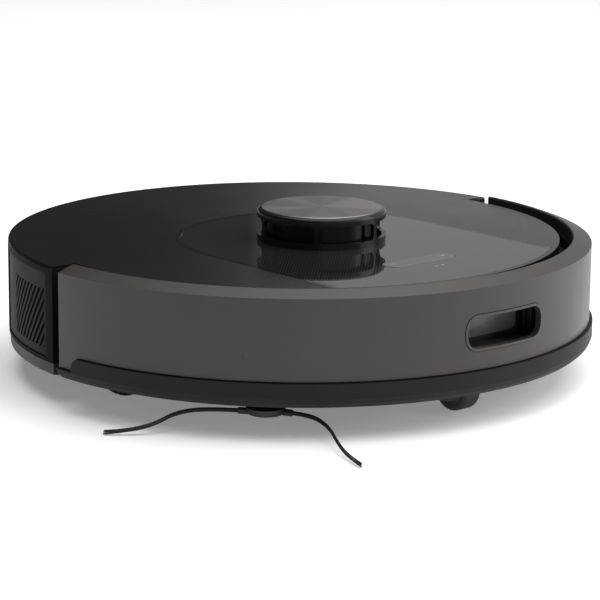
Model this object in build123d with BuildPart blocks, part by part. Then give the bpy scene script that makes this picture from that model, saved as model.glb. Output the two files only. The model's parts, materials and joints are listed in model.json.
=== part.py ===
from build123d import *
import os
from math import atan2, cos, degrees, radians, sin, sqrt

os.makedirs("parts", exist_ok=True)

# A round robot vacuum cleaner. Millimetres. +Z is up, the floor is Z = 0, the
# middle of the body stands over the origin and the front faces -Y.

# ---- Body outline and heights ----
body_r = 172.0          # rear wall, outside
front_r = body_r - 12         # body wall behind the bumper, outside
cover_r = body_r - 16         # edge of the flat cover in front
split_y = 11.5          # front face of the wide rear half
belly_z = 13.0          # underside
belly_r = body_r - 24         # where the underside starts to rise to the rim
rim_z = 18.0            # lower edge of the rim
ring_top_z = 24.0       # top of the chassis ring
lip_top_z = 34.0        # top of the lip inside the upper shell
cover_z = 80.0          # flat top
channel_z = cover_z - 10        # floor of the channel between cover and bumper
floor_t = 2.5
wall = 2.5
cover_t = 3.0
shoulder = 2.0          # rounding of the rear top edge
reveal = 0.8            # step between the chassis ring and the wall above
seam = 0.5              # visible joint line
gap = 0.3               # clearance between separate pieces
run = 0.05              # radial clearance of a running fit

# ---- Bumper ----
bumper_r = body_r + 3
bumper_wall = 2.5
bumper_low_z = 25.5     # lower edge of the end tabs
guard_seam_z = 33.0     # joint between bumper wall and guard strip
bumper_edge_z = cover_z - 1    # top of the upright wall
bumper_lip_z = cover_z + 2.4     # top of the sloping lip
lip_slope_r = bumper_r - 9.5     # inner end of the slope
lip_inner_r = bumper_r - 11.4     # inside of the turned-down lip
lip_low_z = cover_z - 7.5
bumper_end_y = 0.9      # the ends lie just behind the widest line
bumper_travel = 5.0
guard_r = bumper_r + 2
guard_start_y = -12.0
guard_corner_r = 6.0
tab_xs = (78.0, 132.0)  # guide tabs, one pair each
tab_w = 8.0
tab_t = 3.0
tab_z = 46.0
tab_reach = 8.0

# ---- Sensor window in the front ----
window_w = 60.0
window_h = 20.6
window_z = 54.1
window_corner = 8.5
frame_w = 1.5
frame_depth = 4.0
bay_w = 67.0
bay_h = 26.0
bay_t = 1.6
bay_front_y = -bumper_r + 8.5
bay_back_y = bay_front_y + 16
lens_w = 57.0
lens_h = 17.0

# ---- Pattern plate, turret and top controls ----
turret_y = -21.5
plate_r = 85.0
plate_t = 1.6
plate_rim = 3.0         # cover left in front of the plate
groove_in = 1.8
groove_w = 0.5
groove_d = 0.4
cage_r = 38.0
rotor_hole_r = cage_r - 3.5
cage_wall = 2.4
cage_top_z = cover_z + 18.4
cage_window_low_z = cover_z + 3.4
cage_window_high_z = cover_z + 13.6
window_round = 2.8      # rounding of the turret window corners
cage_posts = 6
cage_post_deg = 4.0
cage_first_post = 223.6
disc_r = cage_r - 2.6
disc_t = 0.8
pill_y = -104.0
pill_w = 52.0
pill_d = 13.0
led_y = -121.0
led_pitch = 5.0
led_r = 0.9

# ---- Lidar ----
lidar_base_z = cover_z - 14
lidar_base_t = 3.0
rotor_low_z = cover_z - 10
rotor_top_z = cage_top_z - 3.9
rotor_r = cage_r - 5.5
rotor_belt_r = rotor_r - 3.5
boss_r = 12.0
lidar_motor_x = cage_r + 14
lidar_pulley_r = 5.0
belt_t = 1.2
belt_w = 3.0

# ---- Vent ----
vent_from = 148.0       # degrees, counted from +X
vent_to = 173.6
vent_low_z = 27.0
vent_high_z = cover_z - 5
vent_field_w = 46.0
vent_field_h = 34.0
vent_field_mid = 165.0
vent_field_z = 48.5
slot_w = 2.0
slot_pitch = 4.0
slot_lean = 37.0

# ---- Drive wheels ----
wheel_x = 122.0
wheel_y = 8.0
wheel_r = 34.0
wheel_w = 16.0
tread_depth = 1.6
tread_count = 24
tyre_t = 6.0
pod_t = wheel_w / 2
pod_gap = 2.5
pivot_dy = -46.0        # arm pivot ahead of the wheel centre
pivot_z = 46.0
pivot_pin_r = 3.0
axle_r = 4.0
well_in = wheel_x - wheel_w / 2 - 19
well_out = wheel_x + wheel_w / 2 + 4
well_front = wheel_y - wheel_r - 21
well_back = wheel_y + wheel_r + 5
well_top_z = cover_z - 6
well_t = 2.0
motor_r = 13.0
motor_t = 6.2

# ---- Caster ----
caster_y = -129.5
caster_trail = 8.0
caster_wheel_r = 13.0
caster_wheel_w = 13.0
caster_cup_r = 22.0
caster_dome_r = caster_cup_r - 1.5
caster_dome_low_z = 7.0
caster_dome_top_z = 28.6
caster_stem_r = 4.0
caster_axle_r = 1.5

# ---- Main brush ----
brush_y = 30.0
brush_r = 21.0
brush_z = 22.5
brush_core_r = 9.0
brush_half = 71.0
fin_count = 6
fin_t = 1.6
fin_twist = 60.0
fin_steps = 4
brush_motor_y = -18.0
brush_motor_z = 31.0
brush_motor_r = 12.5
brush_motor_l = 44.0
bay_half_x = 78.0
bay_half_y = brush_r + 6.5
bay_roof_z = brush_z + brush_r + 6.5
throat_half = 34.0
throat_low_z = 30.0
throat_high_z = 46.0
throat_end_y = brush_y + bay_half_y + 5

# ---- Battery ----
battery_w = 74.0
battery_front_y = -102.0
battery_back_y = -38.0
battery_h = 37.0
battery_cover_rim = 5.0
battery_cover_t = 1.5

# ---- Dust box ----
box_half = 60.0
box_front_y = throat_end_y + 1.5
box_low_z = 26.0
box_high_z = cover_z - 10
box_t = 2.0
box_inner_r = body_r - 5.5
panel_half = 66.0
panel_low_z = 25.1
panel_high_z = box_high_z + 2
release_w = 36.0
release_h = 12.0
release_z = 50.0
filter_y = 98.0
filter_w = 44.0
filter_h = 28.0
filter_t = 7.0

# ---- Fan ----
fan_x = -105.0
fan_y = 84.0
fan_r = 27.0
fan_low_z = 26.0
fan_high_z = 56.0
fan_t = 2.0
impeller_r = fan_r - 5
blade_count = 9
shaft_r = 2.0

# ---- Side brush ----
hub_x = -109.0
hub_y = -99.0
hub_r = 11.0
hub_low_z = 8.6
hub_top_z = 12.4
hub_shaft_r = 3.0
side_motor_low_z = 17.4
side_motor_top_z = 52.0
side_motor_x = -92.0
side_motor_y = -84.0
side_motor_r = 11.5
arm_r = 1.3
arm_bend_r = 14.0
# Each arm's line, from the hub outwards: x and y from the hub, z above the floor.
brush_arms = {
    "front": ((6, -10, 10), (11, -25, 11), (10, -41, 7.5), (0.5, -58, 4.4), (-7.5, -75, 2.4), (-10.5, -89, 1.6)),
    "side": ((-9, 7, 10), (-22, 18.5, 11), (-39, 27.5, 10.6), (-56, 28.5, 5.6), (-68, 38, 2.3), (-77, 46, 1.6)),
    "inner": ((11, 2, 10), (27, 5, 11), (42, 15, 7.5), (57, 27, 4.4), (70, 41, 2.4), (77, 46.5, 1.6)),
}

# ---- Fasteners and small pieces ----
post_r = 4.0
screw_r = 1.5
screw_head_r = 3.4
screw_head_t = 2.0
screw_boss_h = 4.0
screw_points = [(60, -138), (-60, -138), (148, -22), (-148, -22), (88, 134), (-88, 134)]
contact_x = 33.0
contact_y = -128.0
contact_w = 12.0
contact_d = 8.0
contact_proud = 0.3
board_z = 58.0
board_t = 1.6
board_half_x = 80.0
board_front_y = -104.0
board_back_y = -44.0
speaker_x = 98.0
speaker_y = 82.0
speaker_r = 16.0
cliff_w = 18.0
cliff_d = 7.0
cliff_t = 1.4
cliff_points = [(90, -96), (-62, -110), (84, 110), (-84, 114)]
spring_x = 45.0
spring_z = 60.0
spring_seat = front_r - 14
spring_mean_r = 3.4

floor_z = belly_z + floor_t
roof_z = cover_z - cover_t
both_sides = (("right", -1), ("left", 1))


def body_plan(inset, front=front_r):
    """Plan outline: a disc in front and a larger half disc behind the split line."""
    Circle(body_r - inset)
    with Locations((0, split_y + inset)):
        Rectangle(2 * body_r, 2 * body_r, align=(Align.CENTER, Align.MIN), mode=Mode.INTERSECT)
    Circle(front - inset)


def plate_plan(inset, hole_inset):
    """U-shaped plate around the turret: a half round behind and straight sides to the front."""
    with Locations((0, turret_y)):
        Circle(plate_r - inset)
        Rectangle(2 * (plate_r - inset), cover_r, align=(Align.CENTER, Align.MAX))
    Circle(cover_r - plate_rim - inset, mode=Mode.INTERSECT)
    with Locations((0, turret_y)):
        Circle(rotor_hole_r - hole_inset, mode=Mode.SUBTRACT)
    with Locations((0, pill_y)):
        SlotOverall(pill_w + 2 * gap, pill_d + 2 * gap, mode=Mode.SUBTRACT)
    with Locations((0, led_y)):
        with GridLocations(led_pitch, 0, 2, 1):
            Circle(led_r + run, mode=Mode.SUBTRACT)


def arc_sector(inner, outer, start, end):
    """A piece of a ring between two angles."""
    far = 2 * outer
    edge_1 = (far * cos(radians(start)), far * sin(radians(start)))
    edge_2 = (far * cos(radians(end)), far * sin(radians(end)))
    Polygon((0, 0), edge_1, edge_2, align=None)
    Circle(outer, mode=Mode.INTERSECT)
    Circle(inner, mode=Mode.SUBTRACT)


def guard_window(grow):
    """Side view of the band that the guard strip fills, seen along X."""
    top = guard_seam_z + grow
    with Locations((guard_start_y + grow, top)):
        corner = guard_corner_r
        Rectangle(2 * guard_r, 2 * top, align=(Align.MAX, Align.MAX))
    with Locations((guard_start_y + grow - corner, top - corner)):
        Rectangle(corner, corner, align=(Align.MIN, Align.MIN), mode=Mode.SUBTRACT)
        Circle(corner)


# ======================= Body =======================

chassis_inset = wall + gap
tub_inset = chassis_inset + 2.2
with BuildPart() as bottom_chassis:
    with BuildSketch(Plane.XY.offset(belly_z)):
        body_plan(reveal)
    extrude(amount=ring_top_z - belly_z)
    with BuildSketch(Plane.XY.offset(ring_top_z)):
        body_plan(chassis_inset)
    extrude(amount=lip_top_z - ring_top_z)
    with BuildSketch(Plane.XY.offset(floor_z)):
        body_plan(tub_inset)
    extrude(amount=lip_top_z, mode=Mode.SUBTRACT)
    # The floor rises with the underside towards the rim.
    rise = (rim_z - belly_z) / (body_r - belly_r)
    with BuildSketch(Plane.XZ):
        with BuildLine():
            Polyline(
                (belly_r, floor_z),
                (body_r - reveal, floor_z),
                (body_r - reveal, floor_z + rise * (body_r - reveal - belly_r)),
                (belly_r, floor_z),
            )
        make_face()
    revolve(axis=Axis.Z)
    with BuildSketch(Plane.XY.offset(belly_z)):
        body_plan(reveal)
    extrude(amount=lip_top_z, mode=Mode.INTERSECT)
    with BuildSketch(Plane.XZ):
        with BuildLine():
            Polyline(
                (belly_r, belly_z),
                (2 * body_r, belly_z),
                (2 * body_r, belly_z + rise * (2 * body_r - belly_r)),
                (belly_r, belly_z),
            )
        make_face()
    revolve(axis=Axis.Z, mode=Mode.SUBTRACT)
    # Wheel wells: a box over each opening, closed on top.
    for side in (-1, 1):
        well_mid = side * (well_in + well_out) / 2
        well_w = well_out - well_in
        well_l = well_back - well_front
        well_y = (well_front + well_back) / 2
        with BuildSketch(Plane.XY.offset(floor_z)):
            with Locations((well_mid, well_y)):
                Rectangle(well_w + 2 * well_t, well_l + 2 * well_t)
        extrude(amount=well_top_z + well_t - floor_z)
        with BuildSketch(Plane.XY):
            with Locations((well_mid, well_y)):
                Rectangle(well_w, well_l)
        extrude(amount=well_top_z, mode=Mode.SUBTRACT)
        # Outer bearing of the arm's pivot pin, between the wheel's edge and the well's front.
        bracket_x = wheel_x - wheel_w / 2 - pod_gap + 0.8
        with BuildSketch(Plane.YZ.offset(side * bracket_x)):
            with Locations((wheel_y + pivot_dy, pivot_z)):
                Circle(6)
            with Locations((wheel_y + pivot_dy, pivot_z)):
                Rectangle(12, well_top_z - pivot_z, align=(Align.CENTER, Align.MIN))
        extrude(amount=side * 3)
        with BuildSketch(Plane.YZ.offset(side * (well_in - well_t - 1))):
            with Locations((wheel_y + pivot_dy, pivot_z)):
                Circle(pivot_pin_r + run)
        extrude(amount=side * (bracket_x - well_in + well_t + 5), mode=Mode.SUBTRACT)
    # Opening under the main brush.
    with BuildSketch(Plane.XY):
        with Locations((0, brush_y)):
            Rectangle(2 * (bay_half_x - wall), 2 * (bay_half_y - wall))
    extrude(amount=floor_z + 1, mode=Mode.SUBTRACT)
    # Battery opening with a step for its cover.
    battery_mid_y = (battery_front_y + battery_back_y) / 2
    battery_l = battery_back_y - battery_front_y
    with BuildSketch(Plane.XY):
        with Locations((0, battery_mid_y)):
            Rectangle(battery_w + 2 * gap, battery_l + 2 * gap)
    extrude(amount=floor_z + 1, mode=Mode.SUBTRACT)
    with BuildSketch(Plane.XY):
        with Locations((0, battery_mid_y)):
            RectangleRounded(
                battery_w + 2 * battery_cover_rim + 2 * gap, battery_l + 2 * battery_cover_rim + 2 * gap, 4
            )
    extrude(amount=belly_z + battery_cover_t, mode=Mode.SUBTRACT)
    # Side walls that hold the battery.
    with BuildSketch(Plane.XY.offset(floor_z)):
        with Locations((0, battery_mid_y)):
            Rectangle(battery_w + 2 * gap + 3, battery_l + 2 * gap + 3)
            Rectangle(battery_w + 2 * gap, battery_l + 2 * gap, mode=Mode.SUBTRACT)
    extrude(amount=20)
    # Caster cup with the bearing of the swivel.
    with BuildSketch(Plane.XY.offset(floor_z - 1)):
        with Locations((0, caster_y)):
            Circle(caster_cup_r + 2)
    extrude(amount=caster_dome_top_z + 3.5 - floor_z + 1)
    with BuildSketch(Plane.XY.offset(caster_dome_top_z + 3.5)):
        with Locations((0, caster_y)):
            Circle(caster_stem_r + 4)
    extrude(amount=10)
    with BuildSketch(Plane.XY):
        with Locations((0, caster_y)):
            Circle(caster_cup_r)
    extrude(amount=caster_dome_top_z + 1, mode=Mode.SUBTRACT)
    with BuildSketch(Plane.XY):
        with Locations((0, caster_y)):
            Circle(caster_stem_r + run)
    extrude(amount=caster_dome_top_z + 14.5, mode=Mode.SUBTRACT)
    # Bosses and counterbores of the screws that hold the shell.
    with BuildSketch(Plane.XY.offset(floor_z)):
        with Locations(*screw_points):
            Circle(screw_head_r + 2.4)
    extrude(amount=screw_boss_h)
    with BuildSketch(Plane.XY):
        with Locations(*screw_points):
            Circle(screw_r + gap)
    extrude(amount=floor_z + screw_boss_h, mode=Mode.SUBTRACT)
    with BuildSketch(Plane.XY):
        with Locations(*screw_points):
            Circle(screw_head_r + gap)
    extrude(amount=floor_z + 1, mode=Mode.SUBTRACT)
    # Standoffs of the main board.
    with BuildSketch(Plane.XY.offset(floor_z)):
        with Locations((0, (board_front_y + board_back_y) / 2)):
            with GridLocations(2 * board_half_x - 10, board_back_y - board_front_y - 8, 2, 2):
                Circle(3)
    extrude(amount=board_z - floor_z)
    # Rails under the dust box and a cut for its panel.
    with BuildSketch(Plane.XY.offset(floor_z)):
        with Locations((0, (box_front_y + 146) / 2)):
            with GridLocations(2 * box_half - 12, 0, 2, 1):
                Rectangle(4, 146 - box_front_y)
    extrude(amount=box_low_z - gap - floor_z)
    with BuildSketch(Plane.XY.offset(ring_top_z)):
        with Locations((0, box_front_y)):
            Rectangle(2 * (panel_half + seam), body_r, align=(Align.CENTER, Align.MIN))
    extrude(amount=lip_top_z, mode=Mode.SUBTRACT)
    # Pad under the side brush's gearbox.
    with BuildSketch(Plane.XY.offset(floor_z)):
        with Locations((hub_x, hub_y)):
            Circle(hub_shaft_r + 3.4)
    extrude(amount=side_motor_low_z - floor_z)
    # Charging contacts, side brush shaft, cliff sensor windows and speaker holes.
    with BuildSketch(Plane.XY):
        with Locations((contact_x, contact_y), (-contact_x, contact_y)):
            Rectangle(contact_w + 2 * gap, contact_d + 2 * gap)
        with Locations((hub_x, hub_y)):
            Circle(hub_shaft_r + 1)
        with Locations(*cliff_points):
            SlotOverall(cliff_w + 2 * gap, cliff_d + 2 * gap)
        with Locations((speaker_x, speaker_y)):
            with GridLocations(7, 7, 3, 3):
                Circle(1.6)
    extrude(amount=rim_z + 2, mode=Mode.SUBTRACT)
bottom_chassis.part.label = "bottom_chassis"
export_step(bottom_chassis.part, "parts/bottom_chassis.step")

shell_low_z = ring_top_z + seam
with BuildPart() as top_shell:
    with BuildSketch(Plane.XY.offset(shell_low_z)):
        body_plan(0)
    extrude(amount=channel_z - shell_low_z)
    with BuildSketch(Plane.XY.offset(channel_z)):
        body_plan(0, front=cover_r)
    extrude(amount=cover_z - channel_z)
    top_edges = top_shell.edges().group_by(Axis.Z)[-1]
    fillet(top_edges.filter_by(GeomType.CIRCLE).sort_by(SortBy.RADIUS)[-1], radius=shoulder)
    with BuildSketch(Plane.XY.offset(shell_low_z)):
        body_plan(wall)
    extrude(amount=channel_z - wall - shell_low_z, mode=Mode.SUBTRACT)
    with BuildSketch(Plane.XY.offset(channel_z - wall)):
        body_plan(wall, front=cover_r)
    extrude(amount=roof_z - channel_z + wall, mode=Mode.SUBTRACT)
    # Recess and openings for the pattern plate, rotor, button and lights.
    with BuildSketch(Plane.XY.offset(cover_z)):
        plate_plan(-gap, 0)
        with Locations((0, pill_y)):
            SlotOverall(pill_w + 2 * gap, pill_d + 2 * gap)
        with Locations((0, led_y)):
            Rectangle(3 * led_pitch, 3 * led_r)
        with Locations((0, turret_y)):
            Circle(rotor_hole_r + 1)
    extrude(amount=-plate_t, mode=Mode.SUBTRACT)
    with BuildSketch(Plane.XY.offset(cover_z)):
        with Locations((0, turret_y)):
            Circle(rotor_hole_r)
        with Locations((0, pill_y)):
            SlotOverall(pill_w + 2 * gap, pill_d + 2 * gap)
        with Locations((0, led_y)):
            with GridLocations(led_pitch, 0, 2, 1):
                Circle(led_r + run)
    extrude(amount=-2 * cover_t, mode=Mode.SUBTRACT)
    # Window for the vent.
    with BuildSketch(Plane.XY.offset(vent_low_z - gap)):
        arc_sector(body_r - wall - 1, body_r + 1, vent_from - 0.1, vent_to + 0.1)
    extrude(amount=vent_high_z - vent_low_z + 2 * gap, mode=Mode.SUBTRACT)
    # Opening for the dust box.
    with BuildSketch(Plane.XY):
        with Locations((0, box_front_y)):
            Rectangle(2 * (panel_half + seam), body_r, align=(Align.CENTER, Align.MIN))
    extrude(amount=panel_high_z + seam, mode=Mode.SUBTRACT)
    # Opening for the sensor bay and slots for the bumper's guide tabs.
    with BuildSketch(Plane.XZ):
        with Locations((0, window_z)):
            Rectangle(bay_w + 2 * gap, bay_h + 2 * gap)
        for tab_x in tab_xs:
            with Locations((tab_x, tab_z), (-tab_x, tab_z)):
                Rectangle(tab_w + 2 * gap, tab_t + 2 * gap)
    extrude(amount=body_r, mode=Mode.SUBTRACT)
    # Cups that seat the bumper springs.
    for side in (-1, 1):
        with BuildSketch(Plane.XZ.offset(spring_seat - 2)):
            with Locations((side * spring_x, spring_z)):
                Circle(6)
        extrude(amount=sqrt(front_r**2 - (spring_x - 6) ** 2) - spring_seat + 2 - wall / 2)
        with BuildSketch(Plane.XZ.offset(spring_seat - 0.5)):
            with Locations((side * spring_x, spring_z)):
                Circle(4.6)
        extrude(amount=20, mode=Mode.SUBTRACT)
    # Posts that take the screws from below.
    post_low_z = floor_z + screw_boss_h + gap
    with BuildSketch(Plane.XY.offset(post_low_z)):
        with Locations(*screw_points):
            Circle(post_r)
    extrude(amount=channel_z - wall - post_low_z)
    with BuildSketch(Plane.XY.offset(channel_z - wall)):
        with Locations(*[(x * 0.99, y * 0.99) for x, y in screw_points]):
            Circle(post_r - 1)
    extrude(amount=roof_z - channel_z + wall)
    with BuildSketch(Plane.XY.offset(post_low_z)):
        with Locations(*screw_points):
            Circle(screw_r + run)
    extrude(amount=12, mode=Mode.SUBTRACT)
top_shell.part.label = "top_shell"
export_step(top_shell.part, "parts/top_shell.step")

with BuildPart() as pattern_plate:
    with BuildSketch(Plane.XY.offset(cover_z - plate_t)):
        plate_plan(0, 0)
    extrude(amount=plate_t)
    with BuildSketch(Plane.XY.offset(cover_z)):
        with Locations((0, turret_y)):
            Circle(plate_r - groove_in)
            Rectangle(2 * (plate_r - groove_in), cover_r, align=(Align.CENTER, Align.MAX))
            Circle(plate_r - groove_in - groove_w, mode=Mode.SUBTRACT)
            inner_w = 2 * (plate_r - groove_in - groove_w)
            Rectangle(inner_w, cover_r, align=(Align.CENTER, Align.MAX), mode=Mode.SUBTRACT)
        Circle(cover_r - plate_rim - groove_in, mode=Mode.INTERSECT)
    extrude(amount=-groove_d, mode=Mode.SUBTRACT)
pattern_plate.part.label = "pattern_plate"
export_step(pattern_plate.part, "parts/pattern_plate.step")

with BuildPart() as vent_grille:
    with BuildSketch(Plane.XY.offset(vent_low_z)):
        arc_sector(body_r - wall + gap, body_r - reveal, vent_from + 0.1, vent_to - 0.1)
    extrude(amount=vent_high_z - vent_low_z)
    # A flange behind the wall keeps the grille in its window.
    with BuildSketch(Plane.XY.offset(vent_low_z - 1.5)):
        arc_sector(body_r - wall - gap - 1.5, body_r - wall - gap, vent_from - 1, vent_to + 0.9)
        arc_sector(body_r - wall - gap, body_r - wall + 2 * gap, vent_from + 0.1, vent_to - 0.1)
    extrude(amount=vent_high_z - vent_low_z + 3)
    with BuildSketch(Plane.XY.offset(vent_low_z - 1.5)):
        arc_sector(body_r - wall - gap, body_r, vent_from - 1, vent_to + 1)
    extrude(amount=1.5, mode=Mode.SUBTRACT)
    with BuildSketch(Plane.XY.offset(vent_high_z)):
        arc_sector(body_r - wall - gap, body_r, vent_from - 1, vent_to + 1)
    extrude(amount=1.5, mode=Mode.SUBTRACT)
    # Slanted slots, cut off square at the edges of their field.
    out_x = cos(radians(vent_field_mid))
    out_y = sin(radians(vent_field_mid))
    field = Plane(
        origin=(body_r * out_x, body_r * out_y, vent_field_z), x_dir=(-out_y, out_x, 0), z_dir=(out_x, out_y, 0)
    )
    slot_step = slot_pitch / cos(radians(slot_lean))
    slot_count = int((vent_field_w + vent_field_h) / slot_step)
    with BuildSketch(field.offset(-8)):
        with GridLocations(slot_step, 0, slot_count, 1):
            Rectangle(slot_w, 2 * vent_field_h, rotation=-slot_lean)
        Rectangle(vent_field_w, vent_field_h, mode=Mode.INTERSECT)
    extrude(amount=16, mode=Mode.SUBTRACT)
vent_grille.part.label = "vent_grille"
export_step(vent_grille.part, "parts/vent_grille.step")

# ======================= Bumper =======================

with BuildPart() as bumper_shell:
    with BuildSketch(Plane.XZ):
        with BuildLine():
            Polyline(
                (bumper_r, bumper_low_z),
                (bumper_r, bumper_edge_z),
                (lip_slope_r, bumper_lip_z),
                (lip_inner_r + 0.6, bumper_lip_z),
                (lip_inner_r, bumper_lip_z - 0.8),
                (lip_inner_r, lip_low_z),
                (lip_inner_r + 2, lip_low_z),
                (lip_inner_r + 2, bumper_lip_z - 2.8),
                (bumper_r - bumper_wall, bumper_edge_z - 2.2),
                (bumper_r - bumper_wall, bumper_low_z),
                (bumper_r, bumper_low_z),
            )
        make_face()
    revolve(axis=Axis.Z)
    # Solid ends, as thick as the wall.
    with BuildSketch(Plane.XZ.offset(-bumper_end_y)):
        with BuildLine():
            Polyline(
                (bumper_r - 0.1, bumper_low_z),
                (bumper_r - 0.1, bumper_edge_z - 0.5),
                (lip_slope_r, bumper_lip_z - 0.5),
                (lip_inner_r + 0.3, bumper_lip_z - 1),
                (lip_inner_r + 0.3, bumper_low_z + 8),
                (bumper_r - 0.1, bumper_low_z),
            )
        make_face()
        mirror(about=Plane.YZ)
    extrude(amount=bumper_wall)
    with BuildSketch(Plane.XY):
        with Locations((0, bumper_end_y)):
            Rectangle(3 * bumper_r, 2 * bumper_r, align=(Align.CENTER, Align.MAX))
    extrude(amount=bumper_lip_z, mode=Mode.INTERSECT)
    # The lower edge steps up over the guard strip.
    with BuildSketch(Plane.YZ.offset(-guard_r)):
        guard_window(seam)
    extrude(amount=2 * guard_r, mode=Mode.SUBTRACT)
    # Sensor window.
    with BuildSketch(Plane.XZ.offset(body_r / 2)):
        with Locations((0, window_z)):
            RectangleRounded(window_w + 2 * gap, window_h + 2 * gap, window_corner + gap)
    extrude(amount=body_r, mode=Mode.SUBTRACT)
    # Guide tabs that reach through the body wall.
    for tab_x in tab_xs:
        tab_root = sqrt((bumper_r - bumper_wall / 2) ** 2 - tab_x**2)
        tab_tip = sqrt(front_r**2 - tab_x**2) - tab_reach
        with BuildSketch(Plane.XZ.offset(tab_tip)):
            with Locations((tab_x, tab_z), (-tab_x, tab_z)):
                Rectangle(tab_w, tab_t)
        extrude(amount=tab_root - tab_tip - tab_w / 4)
bumper_shell.part.label = "bumper_shell"
export_step(bumper_shell.part, "parts/bumper_shell.step")

with BuildPart() as bumper_guard:
    tongue_r = bumper_r - bumper_wall - gap
    tongue_t = 2.0
    tongue_z = guard_seam_z + 9
    with BuildSketch(Plane.XZ):
        with BuildLine():
            Polyline(
                (guard_r, guard_seam_z),
                (guard_r, rim_z + 6.5),
                (guard_r - 1.2, rim_z + 3.6),
                (guard_r - 3.8, rim_z + 1.2),
                (guard_r - 7.5, rim_z),
                (guard_r - 11, rim_z),
                (guard_r - 11, rim_z + 2),
                (tongue_r - tongue_t, rim_z + 5.5),
                (tongue_r - tongue_t, guard_seam_z),
                (guard_r, guard_seam_z),
            )
        make_face()
    revolve(axis=Axis.Z)
    with BuildSketch(Plane.YZ.offset(-guard_r)):
        guard_window(0)
        with Locations((bumper_end_y, 0)):
            Rectangle(20, bumper_low_z - seam, align=(Align.MAX, Align.MIN))
    extrude(amount=2 * guard_r, mode=Mode.INTERSECT)
    # A tongue behind the bumper wall carries the strip.
    with BuildSketch(Plane.XY.offset(rim_z + 6)):
        Circle(tongue_r)
        Circle(tongue_r - tongue_t, mode=Mode.SUBTRACT)
        with Locations((0, guard_start_y)):
            Rectangle(2 * guard_r, 2 * guard_r, align=(Align.CENTER, Align.MAX), mode=Mode.INTERSECT)
    extrude(amount=tongue_z - rim_z - 6)
bumper_guard.part.label = "bumper_guard"
export_step(bumper_guard.part, "parts/bumper_guard.step")

with BuildPart() as window_frame:
    with BuildSketch(Plane.XY.offset(window_z - window_h / 2)):
        arc_sector(bumper_r + 0.4 - frame_depth, bumper_r + 0.4, 250, 290)
    extrude(amount=window_h)
    with BuildSketch(Plane.XZ.offset(body_r / 2)):
        with Locations((0, window_z)):
            RectangleRounded(window_w, window_h, window_corner)
            RectangleRounded(
                window_w - 2 * frame_w, window_h - 2 * frame_w, window_corner - frame_w, mode=Mode.SUBTRACT
            )
    extrude(amount=body_r, mode=Mode.INTERSECT)
window_frame.part.label = "window_frame"
export_step(window_frame.part, "parts/window_frame.step")

with BuildPart() as sensor_bay:
    with BuildSketch(Plane.XZ.offset(-bay_back_y)):
        with Locations((0, window_z)):
            Rectangle(bay_w, bay_h)
    extrude(amount=bay_back_y - bay_front_y)
    with BuildSketch(Plane.XZ.offset(-bay_back_y + bay_t)):
        with Locations((0, window_z)):
            Rectangle(bay_w - 2 * bay_t, bay_h - 2 * bay_t)
    extrude(amount=bay_back_y - bay_front_y, mode=Mode.SUBTRACT)
    # Upright ribs that stop stray light on the side walls.
    with BuildSketch(Plane.XY.offset(window_z - bay_h / 2 + bay_t / 2)):
        with Locations((0, bay_front_y + 7)):
            with GridLocations(bay_w - 2 * bay_t - 0.6, 2.4, 2, 4):
                Rectangle(1.2, 0.8)
    extrude(amount=bay_h - bay_t)
    with BuildSketch(Plane.XY.offset(window_z - bay_h / 2)):
        Circle(-bay_front_y)
    extrude(amount=bay_h, mode=Mode.INTERSECT)
sensor_bay.part.label = "sensor_bay"
export_step(sensor_bay.part, "parts/sensor_bay.step")

with BuildPart() as sensor_lens:
    with BuildSketch(Plane.XZ.offset(-bay_back_y + bay_t)):
        with Locations((0, window_z)):
            RectangleRounded(lens_w, lens_h, 4)
    extrude(amount=1.5)
sensor_lens.part.label = "sensor_lens"
export_step(sensor_lens.part, "parts/sensor_lens.step")

with BuildPart() as bumper_springs:
    spring_from = -spring_seat
    spring_to = gap + 1.5 - sqrt((bumper_r - bumper_wall) ** 2 - (spring_x + 5) ** 2)
    spring_turns = 9
    spring_pitch = (spring_from - spring_to) / spring_turns
    for side in (-1, 1):
        with BuildSketch(Plane.XY.offset(spring_z)):
            for i in range(spring_turns):
                with Locations((side * spring_x + spring_mean_r, spring_to + spring_pitch * (i + 0.5))):
                    Circle(spring_pitch * 0.52)
        revolve(axis=Axis((side * spring_x, 0, spring_z), (0, 1, 0)))
bumper_springs.part.label = "bumper_springs"
export_step(bumper_springs.part, "parts/bumper_springs.step")

# ======================= Turret and lidar =======================

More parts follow.
